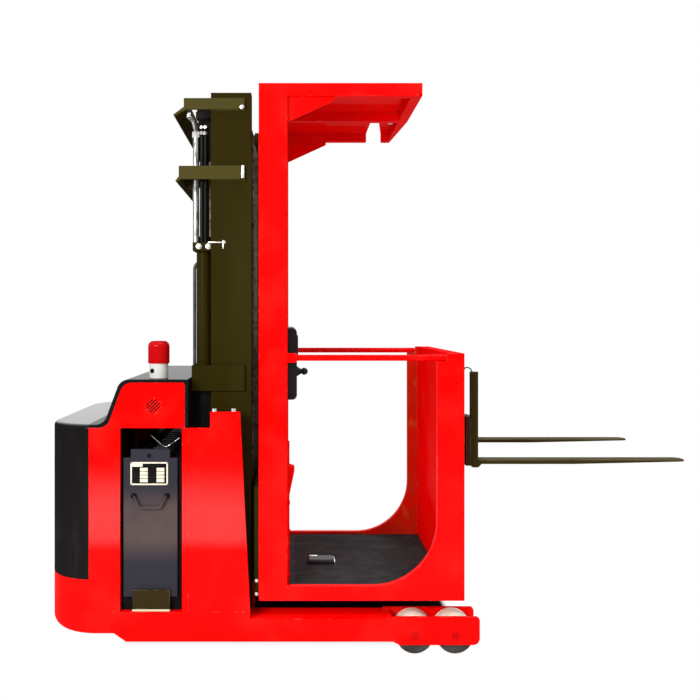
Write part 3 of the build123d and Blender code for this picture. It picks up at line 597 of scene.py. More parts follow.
# Battery: a welded steel tray in black acid-proof coating, with satin grey-painted end panels screwed
# on, and a lighter, browner band across their middle that is a painted reflection.
BATTERY_GREY, BATTERY_REFLECTION = (0.028, 0.027, 0.037), (0.086, 0.061, 0.057)
BATTERY_STAIN = (0.028, 0.027, 0.036)
REFLECTION_BAND_Z = ((0.34, 0.46), (0.54, 0.66))

tray_black = patchy(
    "tray_black", patches=(25.0, 0.45, 0.75), stretch=(1, 1, 0.2), clean=(0.006, 0.005, 0.005),
    soiled=(0.016, 0.014, 0.014), smooth=0.5, rougher=0.2, Specular_IOR_Level=0.0, Coat_Weight=0.05,
    Coat_Roughness=0.4,
)
dress(tray_black, "battery")

battery_grey = Finish("battery_grey", Specular_IOR_Level=0.0, Coat_Weight=0.06, Coat_Roughness=0.3)
stains = battery_grey.cloud(9.0, 0.45, 0.8)
# Painted reflection: a lighter, browner band across the panels' middle.
painted_reflection = battery_grey.band(battery_grey.axis("Z"), *REFLECTION_BAND_Z)
battery_colour = battery_grey.mix(painted_reflection, BATTERY_GREY, BATTERY_REFLECTION)
battery_grey.set({
    "Base Color": battery_grey.mix(stains * 0.35, battery_colour, BATTERY_STAIN),
    "Roughness": 0.4 + stains * 0.2,
    "Normal": battery_grey.grain(300.0, 0.0003, 0.3, 0.002),
})
dress(battery_grey, "battery_panels")

# Battery's plate: a pale pressed frame round a dark printed field with two columns of blank cream
# cells and a blank label, glued to the right panel.
RIGHT = -1
PANEL_FACE = 0.482
PLATE_X, PLATE_Z = (0.336, 0.481), (0.653, 0.742)
PLATE_FRAME = 0.006
CELL_COLUMNS_X = ((0.373, 0.403), (0.437, 0.467))
CELL_Z = (0.664, 0.722)
CELL_ROWS = 4
CELL_SHARE = 0.84
LABEL_X, LABEL_Z = (0.341, 0.383), (0.724, 0.737)
LABEL_SEAT = 0.001
FIELD_RISE, CELL_RISE, LABEL_RISE, FRAME_RISE = 0.0016, 0.0022, 0.0024, 0.003
PRINT_EDGE, FRAME_EDGE = 0.0005, 0.001


def add_plate(mesh, side, along, out, up, edge=0.001):
    """A plate on one side of the truck, with its reach from the rear, from the middle and up."""
    near, far = sorted(side * y for y in out)
    add_block(mesh, (rear + along[0], near, up[0]), (rear + along[1], far, up[1]), edge)


def add_label(mesh, along, up, rise, edge=PRINT_EDGE):
    """A thin plate that stands this far proud of the battery's right panel."""
    add_plate(mesh, RIGHT, along, (PANEL_FACE - LABEL_SEAT, PANEL_FACE + rise), up, edge)


def both_ends(reach, width):
    """The strips of this width at the two ends of a reach."""
    return (reach[0], reach[0] + width), (reach[1] - width, reach[1])


cream_print = patchy(
    "cream_print", patches=(60.0, 0.4, 0.8), clean=(0.78, 0.72, 0.58), soiled=(0.62, 0.54, 0.38),
    smooth=0.45, rougher=0.15, Specular_IOR_Level=0.2,
)
mesh = bmesh.new()
for upright in both_ends(PLATE_X, PLATE_FRAME):
    add_label(mesh, upright, PLATE_Z, FRAME_RISE, FRAME_EDGE)
for rail in both_ends(PLATE_Z, PLATE_FRAME):
    add_label(mesh, PLATE_X, rail, FRAME_RISE, FRAME_EDGE)
row_pitch = (CELL_Z[1] - CELL_Z[0]) / CELL_ROWS
for column in CELL_COLUMNS_X:
    for row in range(CELL_ROWS):
        cell_low = CELL_Z[0] + row * row_pitch
        add_label(mesh, column, (cell_low, cell_low + row_pitch * CELL_SHARE), CELL_RISE)
add_label(mesh, LABEL_X, LABEL_Z, LABEL_RISE)
finished("battery_plate_frame", mesh, cream_print, "chassis")

mesh = bmesh.new()
add_label(mesh, PLATE_X, PLATE_Z, FIELD_RISE)
finished("battery_plate_field", mesh, cover_black, "chassis")

# Battery's lifting holes, drawn as thin black discs that stand in for the shade inside them, the
# bail handles' pivots, which are black caps riveted to the panels, and the plated rods that the
# latches hook under, welded across the foot of the bay.
LIFT_HOLE_X, LIFT_HOLE_Z = 0.408, 0.766
LIFT_HOLE_SHADE = (0.0085, 0.0008)
HANDLE_PIVOTS_X, HANDLE_PIVOT_Z = (0.349, 0.477), 0.612
HANDLE_PIVOT = (0.010, 0.015, 0.003)
LATCH_ROD_X = (0.346, 0.490)
LATCH_ROD_RADIUS = 0.0045
LATCH_ROD_INSET, LATCH_ROD_RISE = 0.006, 0.004

latch_low, latch_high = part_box("battery_latches")
# Painted shade: each lifting hole is a thin black disc.
holes = bmesh.new()
pivots = bmesh.new()
rods = bmesh.new()
for side in SIDES:
    out = (0, side, 0)
    add_round(holes, (rear + LIFT_HOLE_X, side * PANEL_FACE, LIFT_HOLE_Z), out, *LIFT_HOLE_SHADE)
    for x in HANDLE_PIVOTS_X:
        add_round(pivots, (rear + x, side * PANEL_FACE, HANDLE_PIVOT_Z), out, *HANDLE_PIVOT)
    rod_y = side * (latch_high.y - LATCH_ROD_INSET)
    rod_seat = (rear + LATCH_ROD_X[0], rod_y, latch_low.z + LATCH_ROD_RISE)
    add_round(rods, rod_seat, (1, 0, 0), LATCH_ROD_RADIUS, LATCH_ROD_X[1] - LATCH_ROD_X[0], 0.001, 16)
finished("battery_lift_hole_shades", holes, cover_black, "chassis")
finished("handle_pivots", pivots, tray_black, "chassis")
finished("latch_rods", rods, zinc, "chassis")

# Battery latches: folded steel in olive-brown paint, hinged on the panels and rubbed bare along the
# lip that hooks the rod.
LATCH_OLIVE, LATCH_SCRAPED = (0.031, 0.020, 0.006), (0.22, 0.19, 0.14)
LATCH_BARE = (0.66, 0.58, 0.40)
LATCH_LIP = 0.010

latch_olive = Finish("latch_olive", Specular_IOR_Level=0.0, Coat_Weight=0.06, Coat_Roughness=0.3)
scraped = latch_olive.edges(0.004) * latch_olive.cloud(40.0, 0.4, 0.7)
bare_lip = latch_olive.axis("Z") < latch_low.z + LATCH_LIP
latch_colour = latch_olive.mix(scraped, LATCH_OLIVE, LATCH_SCRAPED)
latch_olive.set({
    "Base Color": latch_olive.mix(bare_lip * 0.9, latch_colour, LATCH_BARE),
    "Roughness": 0.45 - scraped * 0.15,
})
dress(latch_olive, "battery_latches")

# Battery's top: vent caps in two rows, bare lead bars burned on between the cells, and a stiff steel
# wire keeper at each end that hooks the tray to the bay.
CELLS_ALONG = 12
CELL_PITCH = 0.072
CELL_ROWS_X = (0.365, 0.471)
VENT_CAP_STEPS = ((0.017, 0.012, 0.003), (0.009, 0.019, 0.002))
CELL_LINK_X = (0.388, 0.448)
CELL_LINK_HALF_WIDTH, CELL_LINK_HEIGHT = 0.010, 0.008
KEEPER = ((0.411, 0.842), (0.450, 0.806), (0.467, 0.794), (0.488, 0.806), (0.522, 0.832))
KEEPER_Y = 0.455
KEEPER_RADIUS = 0.0016


def add_wire(mesh, points, radius):
    """A wire bent smoothly along points."""
    line = bpy.data.curves.new("wire", "CURVE")
    line.dimensions = "3D"
    line.bevel_depth = radius
    line.bevel_resolution = 3
    line.use_fill_caps = True
    run = line.splines.new("NURBS")
    run.points.add(len(points) - 1)
    for point, place in zip(run.points, points):
        point.co = (*place, 1)
    run.order_u = 3
    run.use_endpoint_u = True
    holder = bpy.data.objects.new("wire", line)
    drawn = bpy.data.meshes.new_from_object(holder)
    mesh.from_mesh(drawn)
    bpy.data.objects.remove(holder)
    bpy.data.meshes.remove(drawn)


def add_side_wire(mesh, y, bends, radius):
    """A wire that keeps to one distance from the truck's middle, bent in side view."""
    add_wire(mesh, [(rear + x, y, z) for x, z in bends], radius)


lead_grey = patchy(
    "lead_grey", patches=(70.0, 0.4, 0.75), clean=(0.05, 0.05, 0.052), soiled=(0.11, 0.11, 0.115),
    smooth=0.5, rougher=0.2, Metallic=0.6,
)
dull_steel = patchy(
    "dull_steel", patches=(60.0, 0.40, 0.66), stretch=(1, 1, 0.25), clean=(0.44, 0.44, 0.42),
    soiled=(0.07, 0.066, 0.056), smooth=0.30, rougher=0.25, Metallic=1.0,
)
battery_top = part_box("battery")[1].z
caps = bmesh.new()
bars = bmesh.new()
for number in range(CELLS_ALONG):
    y = (number - (CELLS_ALONG - 1) / 2) * CELL_PITCH
    for x in CELL_ROWS_X:
        add_steps(caps, (rear + x, y, battery_top), UP, VENT_CAP_STEPS, 20)
    link_low = (rear + CELL_LINK_X[0], y - CELL_LINK_HALF_WIDTH, battery_top)
    link_high = (rear + CELL_LINK_X[1], y + CELL_LINK_HALF_WIDTH, battery_top + CELL_LINK_HEIGHT)
    add_block(bars, link_low, link_high, 0.002)
finished("battery_vent_caps", caps, tray_black, "chassis")
finished("battery_links", bars, lead_grey, "chassis")

mesh = bmesh.new()
for side in SIDES:
    add_side_wire(mesh, side * KEEPER_Y, KEEPER, KEEPER_RADIUS)
finished("battery_keepers", mesh, dull_steel, "chassis")

# Drive unit: an iron yoke cast in sand, that turns in the deck, with a finned motor bolted upright on
# it by a ring of plated bolts.
CAST_DARK, CAST_PATCH = (0.028, 0.028, 0.03), (0.07, 0.068, 0.065)
FINS = 9
FINNED_SHARE, FINS_START = 0.7, 0.06
FIN_REACH, FIN_SHARE = 0.006, 0.4
MOTOR_BOLTS = (6, 0.075, 0.013)


def add_bolt_circle(mesh, middle, direction, first, second, bolts):
    """Bolts, given by count, circle's radius and size, round middle in the plane of first and second."""
    count, radius, across = bolts
    for number in range(count):
        angle = math.tau * number / count
        spoke = radius * (math.cos(angle) * Vector(first) + math.sin(angle) * Vector(second))
        add_bolt(mesh, Vector(middle) + spoke, direction, across)


dark_cast = Finish("dark_cast", Specular_IOR_Level=0.2)
sand = dark_cast.cloud(260.0, 0.3, 0.7)
dark_cast.set({
    "Base Color": dark_cast.mix(dark_cast.cloud(12.0, 0.4, 0.7), CAST_DARK, CAST_PATCH),
    "Roughness": 0.62 - sand * 0.1,
    "Normal": dark_cast.bump(sand, 0.0006, 0.5),
})
dress(dark_cast, "drive_motor", "steering_yoke")

motor_low, motor_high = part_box("drive_motor")
motor_x, motor_y = (motor_low.x + motor_high.x) / 2, (motor_low.y + motor_high.y) / 2
fin_radius = (motor_high.x - motor_low.x) / 2 + FIN_REACH
fin_pitch = (motor_high.z - motor_low.z) * FINNED_SHARE / FINS
mesh = bmesh.new()
for number in range(FINS):
    fin_seat = (motor_x, motor_y, motor_low.z + FINS_START + number * fin_pitch)
    add_round(mesh, fin_seat, UP, fin_radius, fin_pitch * FIN_SHARE, 0.001, 48)
finished("motor_fins", mesh, dark_cast, "drive_unit")

mesh = bmesh.new()
add_bolt_circle(mesh, (motor_x, motor_y, motor_high.z), UP, (1, 0, 0), (0, 1, 0), MOTOR_BOLTS)
finished("motor_bolts", mesh, zinc, "drive_unit")

# Drive wheel: a dark rubber tread moulded round a cast hub, grey with ground-in dust, and held by a
# ring of plated bolts on each face.
WHEEL_BOLTS = (6, 0.055, 0.014)

dark_tread = patchy(
    "dark_tread", patches=(40.0, 0.4, 0.75), clean=(0.05, 0.03, 0.018), soiled=(0.10, 0.085, 0.07),
    smooth=0.55, rougher=0.2, Specular_IOR_Level=0.2,
)
dress(dark_tread, "drive_wheel")

wheel_low, wheel_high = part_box("drive_wheel")
wheel_middle = (wheel_low + wheel_high) / 2
mesh = bmesh.new()
for side in SIDES:
    hub = (wheel_middle.x, side * wheel_high.y, wheel_middle.z)
    add_bolt_circle(mesh, hub, (0, side, 0), (1, 0, 0), (0, 0, 1), WHEEL_BOLTS)
finished("drive_wheel_bolts", mesh, zinc, "drive_wheel")

# Load wheels: cream polyurethane, with a dark disc on each face that covers all but a thin rim of
# the tread, so that the wheels are dark below the legs, and a sealed bearing pressed in each side.
LOAD_WHEELS = [f"load_wheel_{row}_{side}" for row in ("rear", "front") for side in ("left", "right")]
DARK_FACE_DISC = (0.0725, 0.0012, 0.0004)
BEARING_SEAL = (0.030, 0.0022, 0.0006)

cream_tread = patchy(
    "cream_tread", patches=(30.0, 0.4, 0.75), clean=(0.86, 0.80, 0.66), soiled=(0.705, 0.64, 0.50),
    smooth=0.45, rougher=0.2, Specular_IOR_Level=0.2,
)
dress(cream_tread, *LOAD_WHEELS)

for name in LOAD_WHEELS:
    low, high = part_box(name)
    middle = (low + high) / 2
    mesh = bmesh.new()
    for face, way in ((low.y, -1), (high.y, 1)):
        seat = (middle.x, face, middle.z)
        add_round(mesh, seat, (0, way, 0), *DARK_FACE_DISC, 48)
        add_round(mesh, seat, (0, way, 0), *BEARING_SEAL, 40)
    finished(f"{name}_hub", mesh, dark_cast, name)

# Outer and inner mast: rolled channels with welded ties in satin olive-brown paint, darker where oil
# has run down and rubbed paler along the edges. The upper ties' arms are a lighter olive, a painted
# light from above. The cylinders' barrels, the fork rails and the carriages' plates have the same
# paint.
OLIVE = (0.020, 0.015, 0.0014)
OLIVE_WORN = (0.040, 0.033, 0.009)
OLIVE_PAINTED_LIT = (0.076, 0.064, 0.017)
TIES_LIT_Z = 1.8
TIES_PROUD = 0.0005

channel_low, channel_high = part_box("outer_channels")
mast_olive = Finish("mast_olive", Specular_IOR_Level=0.0, Coat_Weight=0.03, Coat_Roughness=0.25)
patches = mast_olive.cloud(4.0, 0.35, 0.75, stretch=(1, 1, 0.3))
rubbed = mast_olive.cloud(30.0, 0.5, 0.7, stretch=(1, 1, 0.15)) * mast_olive.edges(0.005)
mast_colour = mast_olive.mix(patches * 0.4 + rubbed * 0.5, OLIVE, OLIVE_WORN)
on_arms = abs(mast_olive.axis("Y")) > channel_high.y + TIES_PROUD
# Painted light: the upper ties' arms are a lighter olive.
painted_lit = on_arms * (mast_olive.axis("Z") > TIES_LIT_Z)
mast_olive.set({
    "Base Color": mast_olive.mix(painted_lit * 0.6, mast_colour, OLIVE_PAINTED_LIT),
    "Roughness": 0.40 - patches * 0.10,
    "Normal": mast_olive.grain(240.0, 0.0003, 0.3, 0.002),
})
dress(
    mast_olive, "outer_channels", "mast_ties", "lift_cylinders", "cylinder_clamps", "inner_channels",
    "inner_cross_plates", "fork_rails", "fork_ram", "platform_carriage",
)

# Weld beads along the ties' arms, where they lie on the channels' outer faces: short overlapping
# ripples, laid by hand and painted over.
TIE_BEADS_Z = (2.122, 2.166, 1.847, 1.899, 1.011, 1.111)
BEAD = 0.0045
BEAD_STEP = 0.005
RIPPLE_LENGTH = 1.5
RIPPLE_TAPER = 0.7


def add_bead(mesh, start, end, radius=BEAD):
    """A weld bead of overlapping ripples from start to end."""
    run = Vector(end) - Vector(start)
    count = int(run.length / BEAD_STEP)
    for number in range(count):
        spot = Vector(start) + run * (number / count)
        add_round(mesh, spot, run, radius, BEAD_STEP * RIPPLE_LENGTH, segments=8, tip=radius * RIPPLE_TAPER)


tie_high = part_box("mast_ties")[1]
mesh = bmesh.new()
for side in SIDES:
    for z in TIE_BEADS_Z:
        bead_y = side * channel_high.y
        add_bead(mesh, (channel_low.x, bead_y, z), (tie_high.x, bead_y, z))
finished("tie_welds", mesh, mast_olive, "chassis")

# Plated fittings on the mast: a stop bolt in the upper tie's end, a bare clevis plate on the middle
# tie's, the clamps' bolts, and an angled strap over each clamp with its own bolt.
TIE_BOLT_X, TIE_BOLT_Z = 0.763, 2.131
CLEVIS_X, CLEVIS_Z = (0.761, 0.772), (1.850, 1.901)
CLAMP_BOLTS_X = (0.590, 0.628)
STRAP_X = (0.628, 0.690)
STRAP_Z = 1.600
STRAP_LEG = 0.028
STRAP_WIDTH = 0.005
STRAP_BOLT_DROP = 0.002
STRAP_SEAT = 0.0005
FITTING_THICKNESS = 0.004
TIE_BOLT, CLAMP_BOLT, STRAP_BOLT = 0.013, 0.017, 0.011


def add_side_bolts(mesh, along, out, up, across):
    """Bolts in both sides of the truck, at these places along it and up it."""
    for side in SIDES:
        for x in along:
            for z in up:
                add_bolt(mesh, (rear + x, side * out, z), (0, side, 0), across)


clamp_low, clamp_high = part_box("cylinder_clamps")
clevis_y = (tie_high.y, tie_high.y + FITTING_THICKNESS)
strap_y = (channel_high.y - STRAP_SEAT, channel_high.y + FITTING_THICKNESS)
strap_end = STRAP_X[1]
mesh = bmesh.new()
add_side_bolts(mesh, [TIE_BOLT_X], tie_high.y, [TIE_BOLT_Z], TIE_BOLT)
add_side_bolts(mesh, CLAMP_BOLTS_X, clamp_high.y, [(clamp_low.z + clamp_high.z) / 2], CLAMP_BOLT)
add_side_bolts(mesh, [strap_end], channel_high.y, [STRAP_Z - STRAP_BOLT_DROP], STRAP_BOLT)
for side in SIDES:
    add_plate(mesh, side, CLEVIS_X, clevis_y, CLEVIS_Z)
    add_plate(mesh, side, STRAP_X, strap_y, (STRAP_Z - STRAP_WIDTH, STRAP_Z))
    add_plate(mesh, side, (strap_end - STRAP_WIDTH, strap_end), strap_y, (STRAP_Z - STRAP_LEG, STRAP_Z))
finished("mast_fittings", mesh, zinc, "chassis")

# Lift cylinders: hard-chromed rods through cast gland nuts, screwed into the barrels, and a bent steel
# pipe up the rear of each barrel.
CHROME, CHROME_OILED = (0.80, 0.80, 0.80), (0.50, 0.48, 0.42)
CYLINDER_X, CYLINDER_Y = 0.605, 0.330
GLAND_NUT = (0.0275, 0.016, 0.002)
PIPE_X = 0.567
PIPE_RADIUS = 0.007
PIPE_RUN = (
    (CYLINDER_X, 0.150), (PIPE_X, 0.150), (PIPE_X, 0.26), (PIPE_X, 1.30), (PIPE_X, 1.46), (PIPE_X, 1.525),
    (CYLINDER_X, 1.525),
)

chrome = patchy(
    "chrome", patches=(22.0, 0.5, 0.75), stretch=(1, 1, 0.3), clean=CHROME, soiled=CHROME_OILED,
    smooth=0.08, rougher=0.2, Metallic=1.0,
)
dress(chrome, "piston_rods")

barrel_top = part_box("lift_cylinders")[1].z
glands = bmesh.new()
pipes = bmesh.new()
for side in SIDES:
    y = side * CYLINDER_Y
    add_round(glands, (rear + CYLINDER_X, y, barrel_top), UP, *GLAND_NUT, 8)
    add_side_wire(pipes, y, PIPE_RUN, PIPE_RADIUS)
finished("gland_nuts", glands, dark_cast, "chassis")
finished("lift_pipes", pipes, dark_cast, "chassis")

# Pipes above the clamps: on each side a stout bare steel riser and two thin black lines climb past the
# middle tie and end in union nuts, and the riser turns rearwards into the upper tie's plate. Black
# steel aprons shield the lines at the top, and a black sheet over the barrels between the hood and
# the mast stands in for the shade there.
LINES_Y = 0.367
LINES_TOP = 2.030
RISER_X, RISER_RADIUS = 0.5765, 0.0125
UPPER_PLATE_X, UPPER_PLATE_Z = 0.542, 2.106
RISER_BEND = (
    (RISER_X, LINES_TOP), (RISER_X - 0.004, 2.068), (0.556, 2.096), (UPPER_PLATE_X, UPPER_PLATE_Z)
)
RISER_BEND_RADIUS = 0.008
RISER_NUT_DROP = 0.012
RISER_NUT = (0.0165, 0.024, 0.002)
PLATE_NUT = (0.0135, 0.011, 0.001)
BLACK_LINES_X, BLACK_LINE_RADIUS = (0.5995, 0.6145), 0.0075
LINE_NUT = (0.0085, 0.014, 0.001)
LINE_TIP = (0.006, 0.032)
PORT_RISE = 0.030
PORT_NUT = (0.0075, 0.010, 0.001)
SHEET_THICKNESS = 0.0015
SHEET_EDGE = 0.0003
APRONS_AND_SHADE_SHEET = (  # along the truck, from its middle, up
    ((0.584, 0.6395), 0.3535, (1.925, 2.098)),
    ((0.584, 0.6395), 0.3985, (2.088, 2.126)),
    # a black sheet over the barrels, a painted shade
    ((0.5605, 0.6395), 0.366, (0.180, 1.009)),
)

line_length = LINES_TOP - clamp_high.z
risers = bmesh.new()
nuts = bmesh.new()
lines = bmesh.new()
aprons_and_shade_sheet = bmesh.new()
for side in SIDES:
    y = side * LINES_Y
    add_round(risers, (rear + RISER_X, y, clamp_high.z), UP, RISER_RADIUS, line_length)
    add_side_wire(risers, y, RISER_BEND, RISER_BEND_RADIUS)
    add_round(nuts, (rear + RISER_X, y, LINES_TOP - RISER_NUT_DROP), UP, *RISER_NUT, 6)
    add_round(nuts, (rear + UPPER_PLATE_X, y, UPPER_PLATE_Z), (1, 0, 0), *PLATE_NUT, 6)
    for x in BLACK_LINES_X:
        line_end = (rear + x, y, LINES_TOP)
        add_round(lines, (rear + x, y, clamp_high.z), UP, BLACK_LINE_RADIUS, line_length, segments=20)
        add_round(nuts, line_end, UP, *LINE_NUT, 6)
        add_round(lines, line_end, UP, *LINE_TIP, segments=16)
        add_round(nuts, (rear + x, y, LINES_TOP + PORT_RISE), (0, side, 0), *PORT_NUT, 6)
    for along, inner, up in APRONS_AND_SHADE_SHEET:
        add_plate(aprons_and_shade_sheet, side, along, (inner, inner + SHEET_THICKNESS), up, SHEET_EDGE)
finished("lift_risers", risers, dull_steel, "chassis")
finished("lift_unions", nuts, zinc, "chassis")
finished("lift_lines", lines, cover_black, "chassis")
finished("lift_aprons_and_shade_sheets", aprons_and_shade_sheet, tray_black, "chassis")

# Lift chains: leaf chain of oiled spring steel, laced three plates against two on pins, from the ties'
# anchors over the pulleys and down to the platform's carriage.
CHAIN_PITCH = 0.019
CHAIN_Y = 0.200
CHAIN_REAR_Z = 1.030
LEAF_HEIGHT = 0.015
LEAF_THICKNESS = 0.0036
LEAF_HALF_LENGTH = 0.86
LEAF_ROUNDING = 0.45
OUTER_LEAVES = (-0.0092, 0.0, 0.0092)
INNER_LEAVES = (-0.0046, 0.0046)
PIN_RADIUS = 0.0032
PIN_LENGTH = 0.0236

chain_low, chain_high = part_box("lift_chains")
pulley_low, pulley_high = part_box("chain_pulleys")
pulley_x = (pulley_low.x + pulley_high.x) / 2
pulley_z = (pulley_low.z + pulley_high.z) / 2
strand_radius = (chain_high.x - chain_low.x - LEAF_HEIGHT) / 2
rear_run = pulley_z - CHAIN_REAR_Z
over_run = math.pi * strand_radius
links = int((rear_run + over_run + pulley_z - chain_low.z) / CHAIN_PITCH)


def chain_point(run):
    """The place on the chain's line at a length from its rear anchor."""
    if run < rear_run:
        return Vector((pulley_x - strand_radius, 0, CHAIN_REAR_Z + run))
    if run < rear_run + over_run:
        turn = (run - rear_run) / strand_radius
        spoke = Vector((-math.cos(turn), 0, math.sin(turn)))
        return Vector((pulley_x, 0, pulley_z)) + strand_radius * spoke
    return Vector((pulley_x + strand_radius, 0, pulley_z - (run - rear_run - over_run)))


chain_oiled = patchy(
    "chain_oiled", patches=(50.0, 0.4, 0.7), clean=(0.13, 0.12, 0.10), soiled=(0.04, 0.035, 0.026),
    smooth=0.36, rougher=0.2, Metallic=0.8,
)
leaf = bmesh.new()
leaf_half = Vector((CHAIN_PITCH * LEAF_HALF_LENGTH, LEAF_THICKNESS / 2, LEAF_HEIGHT / 2))
add_block(leaf, -leaf_half, leaf_half, 0)
across_leaf = [e for e in leaf.edges if abs(e.verts[0].co.y - e.verts[1].co.y) > LEAF_THICKNESS / 2]
break_edges(leaf, across_leaf, LEAF_HEIGHT * LEAF_ROUNDING)
leaf_data = bpy.data.meshes.new("leaf")
leaf.to_mesh(leaf_data)
leaf.free()

mesh = bmesh.new()
for side in SIDES:
    for number in range(links):
        start = chain_point(number * CHAIN_PITCH)
        along = chain_point((number + 1) * CHAIN_PITCH) - start
        lean = Matrix.Rotation(-math.atan2(along.z, along.x), 4, "Y")
        for offset in OUTER_LEAVES if number % 2 else INNER_LEAVES:
            spot = start + along / 2 + Vector((0, side * CHAIN_Y + offset, 0))
            placed = leaf_data.copy()
            placed.transform(Matrix.Translation(spot) @ lean)
            mesh.from_mesh(placed)
            bpy.data.meshes.remove(placed)
        pin_seat = start + Vector((0, side * CHAIN_Y - PIN_LENGTH / 2, 0))
        add_round(mesh, pin_seat, (0, 1, 0), PIN_RADIUS, PIN_LENGTH, segments=10)
chains = finished("leaf_chains", mesh, chain_oiled, "inner_mast")
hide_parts("lift_chains")
bpy.data.meshes.remove(leaf_data)

# Chain pulleys: turned steel, bright in the groove where the chain runs, on pins welded to the inner
# mast's cross plate.
bright_steel = patchy(
    "bright_steel", patches=(160.0, 0.3, 0.7), stretch=(1, 6, 1), clean=(0.55, 0.54, 0.52),
    soiled=(0.455, 0.445, 0.425), smooth=0.28, rougher=0.16, Metallic=1.0,
)
dress(bright_steel, "chain_pulleys")

# Platform's carriage: two plated bolts low on each edge of its back plate, seen in the gap beside the
# mast, clamp it to the columns.
CARRIAGE_BOLTS_Z = (0.222, 0.274)
CARRIAGE_BOLT_X = 0.821
CARRIAGE_BOLT = 0.010

carriage_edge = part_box("platform_carriage")[1].y
mesh = bmesh.new()
add_side_bolts(mesh, [CARRIAGE_BOLT_X], carriage_edge, CARRIAGE_BOLTS_Z, CARRIAGE_BOLT)
finished("carriage_bolts", mesh, zinc, "platform")

# Operator's mat: moulded black rubber, ribbed along the truck inside a plain border, grey with dust. It
# lies loose on the platform's floor.
MAT_RIBS = 26
MAT_BORDER = 0.022
MAT_RIB_RISE, MAT_RIB_SINK = 0.0014, 0.0005
MAT_RIB_SHARE = 0.3

mat_rubber = patchy(
    "mat_rubber", patches=(14.0, 0.4, 0.75), clean=(0.031, 0.034, 0.035), soiled=(0.0445, 0.048, 0.0495),
    smooth=0.6, rougher=0.2, Specular_IOR_Level=0.0, Coat_Weight=0.03, Coat_Roughness=0.4,
)
mat_rubber.set({"Normal": mat_rubber.grain(500.0, 0.0004, 0.4, detail=2.0)})
dress(mat_rubber, "floor_mat")

mat_low, mat_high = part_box("floor_mat")
ribs_reach = mat_high.y - MAT_BORDER
rib_pitch = 2 * ribs_reach / MAT_RIBS
rib_half = rib_pitch * MAT_RIB_SHARE
mesh = bmesh.new()
for number in range(MAT_RIBS):
    y = (number + 0.5) * rib_pitch - ribs_reach
    rib_low = (mat_low.x + MAT_BORDER, y - rib_half, mat_high.z - MAT_RIB_SINK)
    rib_high = (mat_high.x - MAT_BORDER, y + rib_half, mat_high.z + MAT_RIB_RISE)
    add_block(mesh, rib_low, rib_high, 0.0008)
finished("mat_ribs", mesh, mat_rubber, "platform")

# Console, lever and foot pedal: moulded black plastic with a fine grain. The pedal has two bright
# plated strips, on its heel and on its end, that stand in for highlights along its edges.
PEDAL_STRIP_LENGTH, PEDAL_STRIP_WIDTH = 0.040, 0.013
PEDAL_STRIP_RISE, PEDAL_STRIP_SINK = 0.002, 0.001
PEDAL_END_LENGTH = 0.003

black_plastic = patchy(
    "black_plastic", patches=(18.0, 0.55, 0.8), clean=(0.010, 0.010, 0.011),
    soiled=(0.0225, 0.0225, 0.024), smooth=0.42, rougher=0.2, Specular_IOR_Level=0.2,
)
black_plastic.set({"Normal": black_plastic.grain(900.0, 0.0003, 0.35, 0.003, detail=2.0)})
dress(black_plastic, "console", "control_lever", "foot_pedal")

pedal_low, pedal_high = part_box("foot_pedal")
pedal_rim = (pedal_high.z - pedal_low.z) / 3
strip_y = pedal_high.y - pedal_rim
strip_low = (pedal_low.x + pedal_rim, strip_y - PEDAL_STRIP_WIDTH, pedal_high.z - PEDAL_STRIP_SINK)
strip_high = (pedal_low.x + PEDAL_STRIP_LENGTH, strip_y, pedal_high.z + PEDAL_STRIP_RISE)
end_high = (pedal_high.x + PEDAL_END_LENGTH, pedal_high.y, pedal_high.z - pedal_rim)
# Painted highlights: two bright plated strips on the pedal's heel and end.
mesh = bmesh.new()
add_block(mesh, strip_low, strip_high)
add_block(mesh, (pedal_high.x, pedal_low.y, pedal_low.z), end_high)
finished("pedal_highlight_strips", mesh, zinc, "platform")

# Console's fittings, facing the operator: a blank display in a raised bezel, a key switch, a row of
# push buttons, a red stop button on a pale collar, and a ribbed boot round the lever's stem. All snap
# into holes in the console's face.
FORWARD = (1, 0, 0)
DISPLAY_Y, DISPLAY_Z = (-0.100, 0.060), (1.130, 1.225)
BEZEL_WIDTH = 0.012
BEZEL_SINK, BEZEL_RISE, GLASS_RISE = 0.002, 0.006, 0.0066
BUTTONS_Y, BUTTON_Z = (-0.085, -0.045, -0.005, 0.035), 1.070
BUTTON_STEPS = ((0.013, 0.003, 0.001), (0.009, 0.007, 0.0015))
KEY_Y, KEY_Z = 0.130, 1.185
KEY_STEPS = ((0.014, 0.005, 0.0015), (0.009, 0.0064, 0.001))
STOP_Y, STOP_Z = 0.240, 1.150
STOP_COLLAR = (0.030, 0.003, 0.001)
STOP_BUTTON = (0.020, 0.0055, 0.0025)
STOP_BUTTON_SEAT = 0.0025
BOOT_STEPS = ((0.020, 0.006, 0.002), (0.016, 0.012, 0.002), (0.0125, 0.018, 0.002))

console_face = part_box("console")[1].x
lever_low, lever_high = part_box("control_lever")
lever_seat = (console_face, (lever_low.y + lever_high.y) / 2, (lever_low.z + lever_high.z) / 2)
mesh = bmesh.new()
bezel_low = (console_face - BEZEL_SINK, DISPLAY_Y[0], DISPLAY_Z[0])
add_block(mesh, bezel_low, (console_face + BEZEL_RISE, DISPLAY_Y[1], DISPLAY_Z[1]), 0.003)
for y in BUTTONS_Y:
    add_steps(mesh, (console_face, y, BUTTON_Z), FORWARD, BUTTON_STEPS)
add_steps(mesh, lever_seat, FORWARD, BOOT_STEPS)
finished("console_bezel", mesh, black_plastic, "platform")

